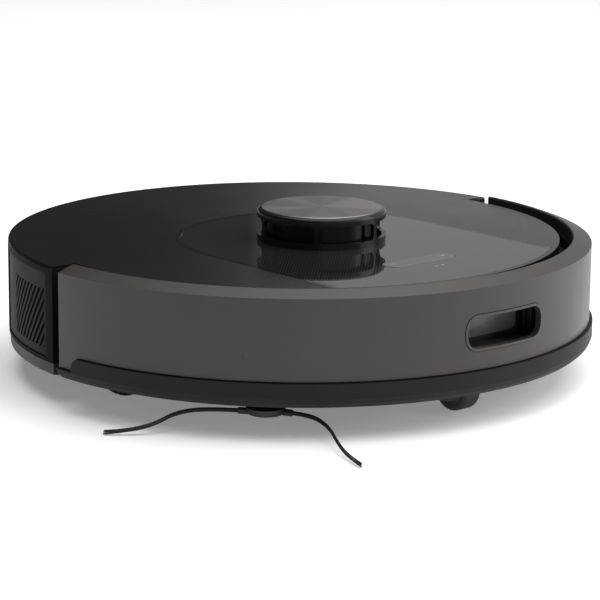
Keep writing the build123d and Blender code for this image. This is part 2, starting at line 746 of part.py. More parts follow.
turret_x_axis = (0, turret_y)
with BuildPart() as turret_cage:
    with BuildSketch(Plane.XY.offset(cover_z)):
        with Locations(turret_x_axis):
            Circle(cage_r)
    extrude(amount=cage_top_z - cover_z)
    fillet(turret_cage.edges().filter_by(GeomType.CIRCLE).sort_by(Axis.Z)[-1], radius=2.4)
    with BuildSketch(Plane.XY.offset(cover_z)):
        with Locations(turret_x_axis):
            Circle(cage_r - cage_wall)
    extrude(amount=cage_top_z - cover_z - 2.2, mode=Mode.SUBTRACT)
    with BuildSketch(Plane.XY.offset(cage_top_z)):
        with Locations(turret_x_axis):
            Circle(disc_r + gap / 3)
    extrude(amount=-disc_t / 2, mode=Mode.SUBTRACT)
    # Windows between the posts, with rounded corners.
    window_rise = cage_window_high_z - cage_window_low_z
    window_deg = 360 / cage_posts - cage_post_deg
    round_deg = degrees(2 * window_round / (cage_r - cage_wall / 2))
    for i in range(cage_posts):
        middle = cage_first_post + (i + 0.5) * 360 / cage_posts
        for span, rise in ((window_deg, window_rise - 2 * window_round), (window_deg - round_deg, window_rise)):
            low = (cage_window_low_z + cage_window_high_z - rise) / 2
            with BuildSketch(Plane.XY.offset(low)):
                with Locations(turret_x_axis):
                    far = 2 * cage_r
                    half = radians(span / 2)
                    Polygon(
                        (0, 0), (far * cos(half), -far * sin(half)), (far * cos(half), far * sin(half)),
                        align=None, rotation=middle,
                    )
                    Circle(rotor_r + 0.5, mode=Mode.SUBTRACT)
            extrude(amount=rise, mode=Mode.SUBTRACT)
        for corner in (-1, 1):
            turn = radians(middle + corner * (window_deg - round_deg) / 2)
            spoke = Plane(
                origin=(0, turret_y, 0), x_dir=(-sin(turn), cos(turn), 0), z_dir=(cos(turn), sin(turn), 0)
            )
            with BuildSketch(spoke.offset(cage_r - cage_wall - 2)):
                with Locations((0, cage_window_low_z + window_round), (0, cage_window_high_z - window_round)):
                    Circle(window_round)
            extrude(amount=cage_wall + 3, mode=Mode.SUBTRACT)
turret_cage.part.label = "turret_cage"
export_step(turret_cage.part, "parts/turret_cage.step")

with BuildPart() as turret_disc:
    with BuildSketch(Plane.XY.offset(cage_top_z - disc_t / 2)):
        with Locations(turret_x_axis):
            Circle(disc_r)
    extrude(amount=disc_t)
    chamfer(turret_disc.edges().group_by(Axis.Z)[-1], length=0.3)
turret_disc.part.label = "turret_disc"
export_step(turret_disc.part, "parts/turret_disc.step")

with BuildPart() as lidar_base:
    with BuildSketch(Plane.XY.offset(lidar_base_z)):
        with Locations(turret_x_axis):
            Circle(rotor_r + 5)
        with Locations((lidar_motor_x / 2, turret_y)):
            Rectangle(lidar_motor_x, 2 * (rotor_r + 5) * 0.6)
        with Locations((lidar_motor_x, turret_y)):
            Circle((rotor_r + 5) * 0.6)
    extrude(amount=lidar_base_t)
    with BuildSketch(Plane.XY.offset(lidar_base_z + lidar_base_t)):
        with Locations(turret_x_axis):
            Circle(boss_r)
    extrude(amount=rotor_top_z - lidar_base_z - lidar_base_t - 6)
    # Three legs up to the cover.
    with BuildSketch(Plane.XY.offset(lidar_base_z + lidar_base_t)):
        with Locations(turret_x_axis):
            with PolarLocations(rotor_r + 4, 3, start_angle=60):
                Circle(1.4)
    extrude(amount=roof_z - lidar_base_z - lidar_base_t)
    with BuildSketch(Plane.XY.offset(lidar_base_z)):
        with Locations((lidar_motor_x, turret_y)):
            Circle(lidar_pulley_r + 1)
    extrude(amount=lidar_base_t, mode=Mode.SUBTRACT)
lidar_base.part.label = "lidar_base"
export_step(lidar_base.part, "parts/lidar_base.step")

belt_z = rotor_low_z + 1.2
with BuildPart() as lidar_rotor:
    with BuildSketch(Plane.XY.offset(rotor_low_z)):
        with Locations(turret_x_axis):
            Circle(rotor_belt_r + 1)
    extrude(amount=belt_w + 2.4)
    with BuildSketch(Plane.XY.offset(belt_z)):
        with Locations(turret_x_axis):
            Circle(rotor_belt_r + 3)
            Circle(rotor_belt_r, mode=Mode.SUBTRACT)
    extrude(amount=belt_w, mode=Mode.SUBTRACT)
    with BuildSketch(Plane.XY.offset(rotor_low_z + belt_w + 2.4)):
        with Locations(turret_x_axis):
            Circle(rotor_r - 1)
    extrude(amount=cover_z - rotor_low_z - belt_w - 2.4)
    with BuildSketch(Plane.XY.offset(cover_z)):
        with Locations(turret_x_axis):
            Circle(rotor_r)
    extrude(amount=rotor_top_z - cover_z)
    # A flat face carries the two lens tubes.
    with BuildSketch(Plane.XY.offset(cover_z + 2)):
        with Locations((0, turret_y + rotor_r - 7)):
            Rectangle(2 * rotor_r, 10, align=(Align.CENTER, Align.MIN))
    extrude(amount=rotor_top_z - cover_z - 4, mode=Mode.SUBTRACT)
    with BuildSketch(Plane.XZ.offset(-turret_y - rotor_r + 7.1)):
        with Locations((-11, (cover_z + rotor_top_z) / 2), (9, (cover_z + rotor_top_z) / 2)):
            Circle(4.6)
    extrude(amount=9, mode=Mode.SUBTRACT)
    # Bearing bore over the boss.
    with BuildSketch(Plane.XY.offset(rotor_low_z)):
        with Locations(turret_x_axis):
            Circle(boss_r + run)
    extrude(amount=rotor_top_z - rotor_low_z - 5, mode=Mode.SUBTRACT)
lidar_rotor.part.label = "lidar_rotor"
export_step(lidar_rotor.part, "parts/lidar_rotor.step")

with BuildPart() as lidar_lenses:
    with BuildSketch(Plane.XZ.offset(-turret_y - rotor_r + 8.5)):
        with Locations((-11, (cover_z + rotor_top_z) / 2), (9, (cover_z + rotor_top_z) / 2)):
            Circle(4.6 - run)
    extrude(amount=3)
lidar_lenses.part.label = "lidar_lenses"
export_step(lidar_lenses.part, "parts/lidar_lenses.step")

with BuildPart() as lidar_pulley:
    with BuildSketch(Plane.XY.offset(belt_z - 1)):
        with Locations((lidar_motor_x, turret_y)):
            Circle(lidar_pulley_r + 1)
    extrude(amount=belt_w + 2)
    with BuildSketch(Plane.XY.offset(belt_z)):
        with Locations((lidar_motor_x, turret_y)):
            Circle(lidar_pulley_r + 3)
            Circle(lidar_pulley_r, mode=Mode.SUBTRACT)
    extrude(amount=belt_w, mode=Mode.SUBTRACT)
    with BuildSketch(Plane.XY.offset(lidar_base_z - 4)):
        with Locations((lidar_motor_x, turret_y)):
            Circle(1)
    extrude(amount=belt_z + belt_w - lidar_base_z + 4)
lidar_pulley.part.label = "lidar_pulley"
export_step(lidar_pulley.part, "parts/lidar_pulley.step")

with BuildPart() as lidar_motor:
    with BuildSketch(Plane.XY.offset(lidar_base_z - 0.1 - 9)):
        with Locations((lidar_motor_x, turret_y)):
            Circle(12)
            Circle(1 + run, mode=Mode.SUBTRACT)
    extrude(amount=9)
lidar_motor.part.label = "lidar_motor"
export_step(lidar_motor.part, "parts/lidar_motor.step")

with BuildPart() as lidar_belt:
    # Two straight runs tangent to the rotor's groove and to the pulley.
    lean = degrees(atan2(rotor_belt_r - lidar_pulley_r, sqrt(lidar_motor_x**2 - (rotor_belt_r - lidar_pulley_r) ** 2)))
    with BuildSketch(Plane.XY.offset(belt_z + gap / 2)):
        for grow, mode in ((belt_t, Mode.ADD), (0, Mode.SUBTRACT)):
            big = rotor_belt_r + run + grow
            small = lidar_pulley_r + run + grow
            up = radians(90 - lean)
            with Locations(turret_x_axis):
                Circle(big, mode=mode)
                Polygon(
                    (big * cos(up), big * sin(up)),
                    (lidar_motor_x + small * cos(up), small * sin(up)),
                    (lidar_motor_x + small * cos(up), -small * sin(up)),
                    (big * cos(up), -big * sin(up)),
                    align=None, mode=mode,
                )
            with Locations((lidar_motor_x, turret_y)):
                Circle(small, mode=mode)
    extrude(amount=belt_w - gap)
lidar_belt.part.label = "lidar_belt"
export_step(lidar_belt.part, "parts/lidar_belt.step")

# ======================= Button and lights =======================

button_board_z = 71.0
with BuildPart() as button_pill:
    with BuildSketch(Plane.XY.offset(roof_z - 1)):
        with Locations((0, pill_y)):
            SlotOverall(pill_w, pill_d)
    extrude(amount=cover_z + 0.3 - roof_z + 1)
    fillet(button_pill.edges().group_by(Axis.Z)[-1], radius=0.5)
    with BuildSketch(Plane.XY.offset(button_board_z + board_t + 2.2)):
        with Locations((0, pill_y)):
            with GridLocations(pill_w - 16, 0, 2, 1):
                Circle(2)
    extrude(amount=roof_z - 1 - button_board_z - board_t - 2.2)
    # Knife edge on which the key rocks.
    with BuildSketch(Plane.XY.offset(button_board_z + board_t + gap)):
        with Locations((0, pill_y)):
            Rectangle(1.2, pill_d - 3)
    extrude(amount=roof_z - 1 - button_board_z - board_t - gap)
button_pill.part.label = "button_pill"
export_step(button_pill.part, "parts/button_pill.step")

with BuildPart() as button_board:
    with BuildSketch(Plane.XY.offset(button_board_z)):
        with Locations((0, (pill_y + led_y) / 2)):
            RectangleRounded(pill_w + 12, 34, 2)
    extrude(amount=board_t)
    with BuildSketch(Plane.XY.offset(button_board_z + board_t)):
        with Locations((0, pill_y)):
            with GridLocations(pill_w - 16, 0, 2, 1):
                Rectangle(6, 6)
    extrude(amount=1.2)
    # Feet that hang the board from the cover.
    with BuildSketch(Plane.XY.offset(button_board_z + board_t)):
        with Locations((0, (pill_y + led_y) / 2)):
            with GridLocations(pill_w + 6, 28, 2, 2):
                Circle(2)
    extrude(amount=roof_z - button_board_z - board_t)
button_board.part.label = "button_board"
export_step(button_board.part, "parts/button_board.step")

with BuildPart() as status_leds:
    with BuildSketch(Plane.XY.offset(button_board_z + board_t)):
        with Locations((0, led_y)):
            with GridLocations(led_pitch, 0, 2, 1):
                Circle(led_r)
    extrude(amount=cover_z - button_board_z - board_t)
status_leds.part.label = "status_leds"
export_step(status_leds.part, "parts/status_leds.step")

# ======================= Battery, boards and speaker =======================

with BuildPart() as battery_pack:
    with BuildSketch(Plane.XY.offset(belly_z + battery_cover_t + gap)):
        with Locations((0, battery_mid_y)):
            RectangleRounded(battery_w, battery_l, 3)
    extrude(amount=battery_h)
    fillet(battery_pack.edges().group_by(Axis.Z)[-1], radius=6)
battery_pack.part.label = "battery_pack"
export_step(battery_pack.part, "parts/battery_pack.step")

with BuildPart() as battery_cover:
    with BuildSketch(Plane.XY.offset(belly_z)):
        with Locations((0, battery_mid_y)):
            RectangleRounded(battery_w + 2 * battery_cover_rim, battery_l + 2 * battery_cover_rim, 4)
    extrude(amount=battery_cover_t)
    # Stiffening ribs pressed into the outside.
    with BuildSketch(Plane.XY.offset(belly_z)):
        with Locations((0, battery_mid_y)):
            with GridLocations(0, 12, 1, 4):
                SlotOverall(battery_w - 14, 3)
    extrude(amount=0.6, mode=Mode.SUBTRACT)
battery_cover.part.label = "battery_cover"
export_step(battery_cover.part, "parts/battery_cover.step")

with BuildPart() as main_board:
    with BuildSketch(Plane.XY.offset(board_z)):
        with Locations((0, (board_front_y + board_back_y) / 2)):
            RectangleRounded(2 * board_half_x, board_back_y - board_front_y, 4)
    extrude(amount=board_t)
    # Processor, memory, connectors and capacitors.
    with BuildSketch(Plane.XY.offset(board_z + board_t)):
        with Locations((-48, -74)):
            Rectangle(28, 28)
        with Locations((-12, -84), (16, -84)):
            Rectangle(14, 14)
    extrude(amount=2)
    with BuildSketch(Plane.XY.offset(board_z + board_t)):
        with Locations((48, -96), (66, -96), (66, -52)):
            Rectangle(12, 7)
    extrude(amount=6)
    with BuildSketch(Plane.XY.offset(board_z + board_t)):
        with Locations((58, -74), (70, -74)):
            Circle(4)
    extrude(amount=5)
main_board.part.label = "main_board"
export_step(main_board.part, "parts/main_board.step")

with BuildPart() as speaker:
    with BuildSketch(Plane.XY.offset(floor_z)):
        with Locations((speaker_x, speaker_y)):
            Circle(speaker_r)
    extrude(amount=3)
    with BuildSketch(Plane.XY.offset(floor_z + 3)):
        with Locations((speaker_x, speaker_y)):
            Circle(speaker_r - 5)
    extrude(amount=8)
    with BuildSketch(Plane.XY.offset(floor_z)):
        with Locations((speaker_x, speaker_y)):
            Circle(speaker_r - 2)
    extrude(amount=1.5, mode=Mode.SUBTRACT)
speaker.part.label = "speaker"
export_step(speaker.part, "parts/speaker.step")

with BuildPart() as charge_contacts:
    with BuildSketch(Plane.XY.offset(belly_z - contact_proud)):
        with Locations((contact_x, contact_y), (-contact_x, contact_y)):
            RectangleRounded(contact_w, contact_d, 1)
    extrude(amount=floor_t + contact_proud + 1.5)
charge_contacts.part.label = "charge_contacts"
export_step(charge_contacts.part, "parts/charge_contacts.step")

with BuildPart() as cliff_windows:
    with BuildSketch(Plane.XY.offset(belly_z + 0.2)):
        with Locations(*cliff_points):
            SlotOverall(cliff_w, cliff_d)
    extrude(amount=cliff_t)
cliff_windows.part.label = "cliff_windows"
export_step(cliff_windows.part, "parts/cliff_windows.step")

with BuildPart() as bumper_switches:
    switch_y = -sqrt(front_r**2 - tab_xs[0] ** 2) + tab_reach + bumper_travel + 2.5
    with BuildSketch(Plane.XY.offset(floor_z + 0.2)):
        with Locations((tab_xs[0], switch_y), (-tab_xs[0], switch_y)):
            Rectangle(tab_w, 6, align=(Align.CENTER, Align.MIN))
    extrude(amount=tab_z + tab_t - floor_z)
bumper_switches.part.label = "bumper_switches"
export_step(bumper_switches.part, "parts/bumper_switches.step")

with BuildPart() as underside_screws:
    with BuildSketch(Plane.XY.offset(floor_z + 1 - screw_head_t)):
        with Locations(*screw_points):
            Circle(screw_head_r)
            Rectangle(4, 0.8, mode=Mode.SUBTRACT)
            Rectangle(0.8, 4, mode=Mode.SUBTRACT)
    extrude(amount=screw_head_t / 2)
    with BuildSketch(Plane.XY.offset(floor_z + 1 - screw_head_t / 2)):
        with Locations(*screw_points):
            Circle(screw_head_r)
    extrude(amount=screw_head_t / 2)
    with BuildSketch(Plane.XY.offset(floor_z + 1)):
        with Locations(*screw_points):
            Circle(screw_r)
    extrude(amount=screw_boss_h + 8)
underside_screws.part.label = "underside_screws"
export_step(underside_screws.part, "parts/underside_screws.step")

# ======================= Drive wheels =======================

pivot_y = wheel_y + pivot_dy
pod_out = wheel_x - wheel_w / 2 - pod_gap
pod_in = pod_out - pod_t
for name, side in both_sides:
    with BuildPart() as wheel_arm:
        with BuildSketch(Plane.YZ.offset(side * pod_in)):
            with Locations((pivot_y, pivot_z)):
                Circle(8)
            with Locations((wheel_y, wheel_r)):
                Circle(16)
            make_hull()
        extrude(amount=side * pod_t)
        # Motor can on the inside and axle on the outside.
        with BuildSketch(Plane.YZ.offset(side * pod_in)):
            with Locations((wheel_y, wheel_r)):
                Circle(motor_r)
        extrude(amount=-side * motor_t)
        with BuildSketch(Plane.YZ.offset(side * pod_out)):
            with Locations((wheel_y, wheel_r)):
                Circle(axle_r)
        extrude(amount=side * (pod_gap + wheel_w - 3))
        with BuildSketch(Plane.YZ.offset(side * (pod_in - 1))):
            with Locations((pivot_y, pivot_z)):
                Circle(pivot_pin_r + run)
        extrude(amount=side * (pod_t + 2), mode=Mode.SUBTRACT)
    wheel_arm.part.label = f"wheel_arm_{name}"
    export_step(wheel_arm.part, f"parts/wheel_arm_{name}.step")

    with BuildPart() as wheel_hub:
        hub_in = wheel_x - wheel_w / 2
        with BuildSketch(Plane.YZ.offset(side * hub_in)):
            with Locations((wheel_y, wheel_r)):
                Circle(wheel_r - tyre_t)
        extrude(amount=side * wheel_w)
        # Dished outside with spoke openings between the rim and the middle.
        with BuildSketch(Plane.YZ.offset(side * (hub_in + wheel_w - 4))):
            with Locations((wheel_y, wheel_r)):
                Circle(wheel_r - tyre_t - 3)
                Circle(9, mode=Mode.SUBTRACT)
        extrude(amount=side * 5, mode=Mode.SUBTRACT)
        with BuildSketch(Plane.YZ.offset(side * (hub_in - 1))):
            with Locations((wheel_y, wheel_r)):
                Circle(wheel_r - tyre_t - 3)
                Circle(9, mode=Mode.SUBTRACT)
        extrude(amount=side * 8, mode=Mode.SUBTRACT)
        with BuildSketch(Plane.YZ.offset(side * (hub_in + 5))):
            with Locations((wheel_y, wheel_r)):
                with PolarLocations(17, 5):
                    SlotOverall(11, 6, rotation=90)
        extrude(amount=side * wheel_w, mode=Mode.SUBTRACT)
        with BuildSketch(Plane.YZ.offset(side * (hub_in - 1))):
            with Locations((wheel_y, wheel_r)):
                Circle(axle_r + run)
        extrude(amount=side * (wheel_w - 1.5), mode=Mode.SUBTRACT)
    wheel_hub.part.label = f"wheel_hub_{name}"
    export_step(wheel_hub.part, f"parts/wheel_hub_{name}.step")

    with BuildPart() as wheel_tyre:
        with BuildSketch(Plane.YZ.offset(side * hub_in)):
            with Locations((wheel_y, wheel_r)):
                Circle(wheel_r)
        extrude(amount=side * wheel_w)
        fillet(wheel_tyre.edges().filter_by(GeomType.CIRCLE), radius=1.5)
        with BuildSketch(Plane.YZ.offset(side * hub_in)):
            with Locations((wheel_y, wheel_r)):
                Circle(wheel_r - tyre_t + run)
                with PolarLocations(wheel_r, tread_count):
                    Rectangle(2 * tread_depth, 2.6)
        extrude(amount=side * wheel_w, mode=Mode.SUBTRACT)
    wheel_tyre.part.label = f"wheel_tyre_{name}"
    export_step(wheel_tyre.part, f"parts/wheel_tyre_{name}.step")

with BuildPart() as wheel_springs:
    # Close-wound torsion springs round the pivot pins, outlined by their turns.
    turn_r = 0.8
    turn_count = 4
    for side in (-1, 1):
        with BuildSketch(Plane.XY.offset(pivot_z)):
            for i in range(turn_count):
                with Locations((side * (well_in + 1 + turn_r * (1 + 1.9 * i)), pivot_y + pivot_pin_r + 1.6)):
                    Circle(turn_r)
        revolve(axis=Axis((0, pivot_y, pivot_z), (1, 0, 0)))
wheel_springs.part.label = "wheel_springs"
export_step(wheel_springs.part, "parts/wheel_springs.step")

with BuildPart() as wheel_pins:
    for side in (-1, 1):
        with BuildSketch(Plane.YZ.offset(side * (well_in - well_t))):
            with Locations((pivot_y, pivot_z)):
                Circle(pivot_pin_r)
        extrude(amount=side * (bracket_x + 3 - well_in + well_t))
wheel_pins.part.label = "wheel_pins"
export_step(wheel_pins.part, "parts/wheel_pins.step")

# ======================= Caster =======================

caster_axle_y = caster_y - caster_trail
with BuildPart() as caster_fork:
    with BuildSketch(Plane.XY.offset(caster_dome_low_z)):
        with Locations((0, caster_y)):
            Circle(caster_dome_r)
    extrude(amount=caster_dome_top_z - caster_dome_low_z)
    fillet(caster_fork.edges().group_by(Axis.Z)[0], radius=6)
    with BuildSketch(Plane.XY.offset(caster_dome_top_z)):
        with Locations((0, caster_y)):
            Circle(caster_stem_r)
    extrude(amount=13)
    # Room for the wheel, open downwards and in front.
    with BuildSketch(Plane.YZ.offset(-caster_wheel_w / 2 - 0.7)):
        with Locations((caster_axle_y, caster_wheel_r)):
            Circle(caster_wheel_r + 1.2)
            Rectangle(2 * caster_wheel_r + 2.4, caster_wheel_r, align=(Align.CENTER, Align.MAX))
    extrude(amount=caster_wheel_w + 1.4, mode=Mode.SUBTRACT)
    with BuildSketch(Plane.YZ.offset(-caster_dome_r)):
        with Locations((caster_axle_y, caster_wheel_r)):
            Circle(caster_axle_r + run)
    extrude(amount=2 * caster_dome_r, mode=Mode.SUBTRACT)
caster_fork.part.label = "caster_fork"
export_step(caster_fork.part, "parts/caster_fork.step")

with BuildPart() as caster_axle:
    axle_half = sqrt(caster_dome_r**2 - (caster_trail + caster_axle_r) ** 2) - 1
    with BuildSketch(Plane.YZ.offset(-axle_half)):
        with Locations((caster_axle_y, caster_wheel_r)):
            Circle(caster_axle_r)
    extrude(amount=2 * axle_half)
caster_axle.part.label = "caster_axle"
export_step(caster_axle.part, "parts/caster_axle.step")

with BuildPart() as caster_wheel:
    with BuildSketch(Plane.YZ.offset(-caster_wheel_w / 2)):
        with Locations((caster_axle_y, caster_wheel_r)):
            Circle(caster_wheel_r)
    extrude(amount=caster_wheel_w)
    fillet(caster_wheel.edges().filter_by(GeomType.CIRCLE), radius=2.5)
    with BuildSketch(Plane.YZ.offset(-caster_wheel_w / 2)):
        with Locations((caster_axle_y, caster_wheel_r)):
            Circle(caster_axle_r + run)
    extrude(amount=caster_wheel_w, mode=Mode.SUBTRACT)
caster_wheel.part.label = "caster_wheel"
export_step(caster_wheel.part, "parts/caster_wheel.step")

# ======================= Main brush =======================

drive_pin_r = 4.0
idle_pin_r = 3.0
cap_r = 14.0
cap_t = 2.4
gearbox_out = well_in - well_t - 1.5
with BuildPart() as brush_housing:
    with BuildSketch(Plane.XY.offset(floor_z)):
        with Locations((0, brush_y)):
            Rectangle(2 * bay_half_x, 2 * bay_half_y)
    extrude(amount=bay_roof_z - floor_z)
    fillet(brush_housing.edges().filter_by(Axis.X).group_by(Axis.Z)[-1], radius=8)
    # Throat towards the dust box.
    with BuildSketch(Plane.XZ.offset(-brush_y)):
        with Locations((0, (throat_low_z + throat_high_z) / 2)):
            Rectangle(2 * throat_half + 4, throat_high_z - throat_low_z + 4)
    extrude(amount=-(throat_end_y - brush_y))
    with BuildSketch(Plane.XY.offset(floor_z)):
        with Locations((0, brush_y)):
            Rectangle(2 * (bay_half_x - wall), 2 * (bay_half_y - wall))
    extrude(amount=bay_roof_z - floor_z - 8, mode=Mode.SUBTRACT)
    with BuildSketch(Plane.YZ.offset(-bay_half_x + wall)):
        with Locations((brush_y, bay_roof_z - wall)):
            Rectangle(2 * (bay_half_y - wall - 6), 10, align=(Align.CENTER, Align.MAX))
    extrude(amount=2 * (bay_half_x - wall), mode=Mode.SUBTRACT)
    with BuildSketch(Plane.XZ.offset(-brush_y)):
        with Locations((0, (throat_low_z + throat_high_z) / 2)):
            Rectangle(2 * throat_half, throat_high_z - throat_low_z)
    extrude(amount=-(throat_end_y - brush_y), mode=Mode.SUBTRACT)
    with BuildSketch(Plane.YZ.offset(bay_half_x - wall)):
        with Locations((brush_y, brush_z)):
            Circle(drive_pin_r + run)
    extrude(amount=wall, mode=Mode.SUBTRACT)
    with BuildSketch(Plane.YZ.offset(-bay_half_x)):
        with Locations((brush_y, brush_z)):
            Circle(idle_pin_r + run)
    extrude(amount=wall, mode=Mode.SUBTRACT)
brush_housing.part.label = "brush_housing"
export_step(brush_housing.part, "parts/brush_housing.step")

with BuildPart() as brush_core:
    with BuildSketch(Plane.YZ.offset(-brush_half)):
        with Locations((brush_y, brush_z)):
            Circle(brush_core_r)
    extrude(amount=2 * brush_half)
    for side, pin_r, pin_end in ((1, drive_pin_r, gearbox_out - 3), (-1, idle_pin_r, bay_half_x)):
        with BuildSketch(Plane.YZ.offset(side * brush_half)):
            with Locations((brush_y, brush_z)):
                Circle(cap_r)
        extrude(amount=side * cap_t)
        with BuildSketch(Plane.YZ.offset(side * brush_half)):
            with Locations((brush_y, brush_z)):
                Circle(pin_r)
        extrude(amount=side * (pin_end - brush_half))
brush_core.part.label = "brush_core"
export_step(brush_core.part, "parts/brush_core.step")

fin_foot_r = brush_core_r + gap
fin_half = brush_half - 1.5
with BuildPart() as brush_fins:
    for i in range(fin_count):
        for side in (-1, 1):
            for k in range(fin_steps + 1):
                turn = radians(360 / fin_count * i + fin_twist * k / fin_steps)
                section = Plane(
                    origin=(side * fin_half * k / fin_steps, brush_y, brush_z),
                    x_dir=(0, cos(turn), sin(turn)),
                    z_dir=(1, 0, 0),
                )
                with BuildSketch(section):
                    with Locations(((fin_foot_r + brush_r) / 2, 0)):
                        Rectangle(brush_r - fin_foot_r, fin_t)
            loft(ruled=True)
brush_fins.part.label = "brush_fins"
export_step(brush_fins.part, "parts/brush_fins.step")

with BuildPart() as brush_gearbox:
    with BuildSketch(Plane.YZ.offset(bay_half_x + gap)):
        with Locations((brush_y, floor_z + 15)):
            with GridLocations(18, 18, 2, 2):
                Circle(5)
        with Locations((brush_motor_y, brush_motor_z)):
            Circle(brush_motor_r)
        make_hull()
    extrude(amount=gearbox_out - bay_half_x - gap)
    with BuildSketch(Plane.YZ.offset(bay_half_x)):
        with Locations((brush_y, brush_z)):
            Circle(drive_pin_r + run)
    extrude(amount=gearbox_out - bay_half_x - 2, mode=Mode.SUBTRACT)
brush_gearbox.part.label = "brush_gearbox"
export_step(brush_gearbox.part, "parts/brush_gearbox.step")

with BuildPart() as brush_motor:
    with BuildSketch(Plane.YZ.offset(bay_half_x - brush_motor_l)):
        with Locations((brush_motor_y, brush_motor_z)):
            Circle(brush_motor_r)
            Rectangle(2 * brush_motor_r, 1.5 * brush_motor_r, mode=Mode.INTERSECT)
    extrude(amount=brush_motor_l + gap)
    with BuildSketch(Plane.YZ.offset(bay_half_x - brush_motor_l)):
        with Locations((brush_motor_y, brush_motor_z)):
            Circle(3)
    extrude(amount=-3)
brush_motor.part.label = "brush_motor"
export_step(brush_motor.part, "parts/brush_motor.step")

with BuildPart() as brush_cover:
    cover_half_x = bay_half_x - wall - gap
    cover_half_y = bay_half_y - wall - gap
    with BuildSketch(Plane.XY.offset(belly_z)):
        with Locations((0, brush_y)):
            Rectangle(2 * cover_half_x, 2 * cover_half_y)
            Rectangle(2 * (brush_half + cap_t + 0.5), 2 * (brush_r + 0.5), mode=Mode.SUBTRACT)
    extrude(amount=floor_t - 0.2)
brush_cover.part.label = "brush_cover"
export_step(brush_cover.part, "parts/brush_cover.step")

with BuildPart() as wiper_blade:
    with BuildSketch(Plane.XY.offset(belly_z)):
        with Locations((0, brush_y + brush_r + 0.8)):
            Rectangle(2 * brush_half, 1.4, align=(Align.CENTER, Align.MIN))
    extrude(amount=-8)
wiper_blade.part.label = "wiper_blade"
export_step(wiper_blade.part, "parts/wiper_blade.step")

# ======================= Dust box =======================

def box_plan(inset):
    """Plan outline of the dust box: straight sides and a round back."""
    with Locations((0, box_front_y + inset)):
        Rectangle(2 * (box_half - inset), body_r, align=(Align.CENTER, Align.MIN))
    Circle(box_inner_r - inset, mode=Mode.INTERSECT)


lid_t = 2.0
with BuildPart() as dust_box:
    with BuildSketch(Plane.XY.offset(box_low_z)):
        box_plan(0)
    extrude(amount=box_high_z - lid_t - box_low_z)
    with BuildSketch(Plane.XY.offset(box_low_z + box_t)):
        box_plan(box_t)
    extrude(amount=box_high_z, mode=Mode.SUBTRACT)
    with BuildSketch(Plane.XZ.offset(-box_front_y - 2 * box_t)):
        with Locations((0, (throat_low_z + throat_high_z) / 2)):
            Rectangle(2 * throat_half, throat_high_z - throat_low_z)
    extrude(amount=3 * box_t, mode=Mode.SUBTRACT)
    with BuildSketch(Plane.YZ.offset(-box_half)):
        with Locations((filter_y, (box_low_z + box_high_z) / 2)):
            Rectangle(filter_w - 6, filter_h - 6)
    extrude(amount=box_t, mode=Mode.SUBTRACT)
dust_box.part.label = "dust_box"
export_step(dust_box.part, "parts/dust_box.step")

with BuildPart() as dust_lid:
    with BuildSketch(Plane.XY.offset(box_high_z - lid_t)):
        box_plan(0)
    extrude(amount=lid_t)
dust_lid.part.label = "dust_lid"
export_step(dust_lid.part, "parts/dust_lid.step")

with BuildPart() as dust_filter:
    with BuildSketch(Plane.YZ.offset(-box_half + box_t)):
        with Locations((filter_y, (box_low_z + box_high_z) / 2)):
            RectangleRounded(filter_w, filter_h, 2)
    extrude(amount=filter_t)
    # Pleats.
    with BuildSketch(Plane.YZ.offset(-box_half + box_t + filter_t)):
        with Locations((filter_y, (box_low_z + box_high_z) / 2)):
            with GridLocations(3, 0, 12, 1):
                Rectangle(1.6, filter_h - 6)
    extrude(amount=-4, mode=Mode.SUBTRACT)
dust_filter.part.label = "dust_filter"
export_step(dust_filter.part, "parts/dust_filter.step")

with BuildPart() as dust_panel:
    with BuildSketch(Plane.XY.offset(panel_low_z)):
        Circle(body_r)
        Circle(body_r - wall, mode=Mode.SUBTRACT)
        with Locations((0, box_front_y)):
            Rectangle(2 * panel_half, body_r, align=(Align.CENTER, Align.MIN), mode=Mode.INTERSECT)
    extrude(amount=panel_high_z - panel_low_z)
    # Block that joins the panel to the box.
    with BuildSketch(Plane.XY.offset(box_low_z)):
        Circle(body_r - wall / 2)
        Circle(box_inner_r, mode=Mode.SUBTRACT)
        with Locations((0, box_front_y)):
            Rectangle(2 * box_half - 20, body_r, align=(Align.CENTER, Align.MIN), mode=Mode.INTERSECT)
    extrude(amount=box_high_z - box_low_z)
    with BuildSketch(Plane.XZ.offset(-box_inner_r + 4)):
        with Locations((0, release_z)):
            RectangleRounded(release_w + 2 * gap, release_h + 2 * gap, 4)
    extrude(amount=-14, mode=Mode.SUBTRACT)
dust_panel.part.label = "dust_panel"
export_step(dust_panel.part, "parts/dust_panel.step")

release_travel = 2.0
with BuildPart() as release_button:
    with BuildSketch(Plane.XZ.offset(-box_inner_r)):
        with Locations((0, release_z)):
            RectangleRounded(release_w, release_h, 4)
    extrude(amount=-14)
    with BuildSketch(Plane.XY.offset(release_z - release_h / 2)):
        Circle(body_r + 0.5)
        Circle(box_inner_r + release_travel + 2 * gap, mode=Mode.SUBTRACT)
    extrude(amount=release_h, mode=Mode.INTERSECT)
release_button.part.label = "release_button"
export_step(release_button.part, "parts/release_button.step")

with BuildPart() as duct_seal:
    with BuildSketch(Plane.XZ.offset(-throat_end_y)):
        with Locations((0, (throat_low_z + throat_high_z) / 2)):
            Rectangle(2 * throat_half + 4, throat_high_z - throat_low_z + 4)
            Rectangle(2 * throat_half, throat_high_z - throat_low_z, mode=Mode.SUBTRACT)
    extrude(amount=-(box_front_y - throat_end_y - gap))
duct_seal.part.label = "duct_seal"
export_step(duct_seal.part, "parts/duct_seal.step")

# ======================= Fan =======================

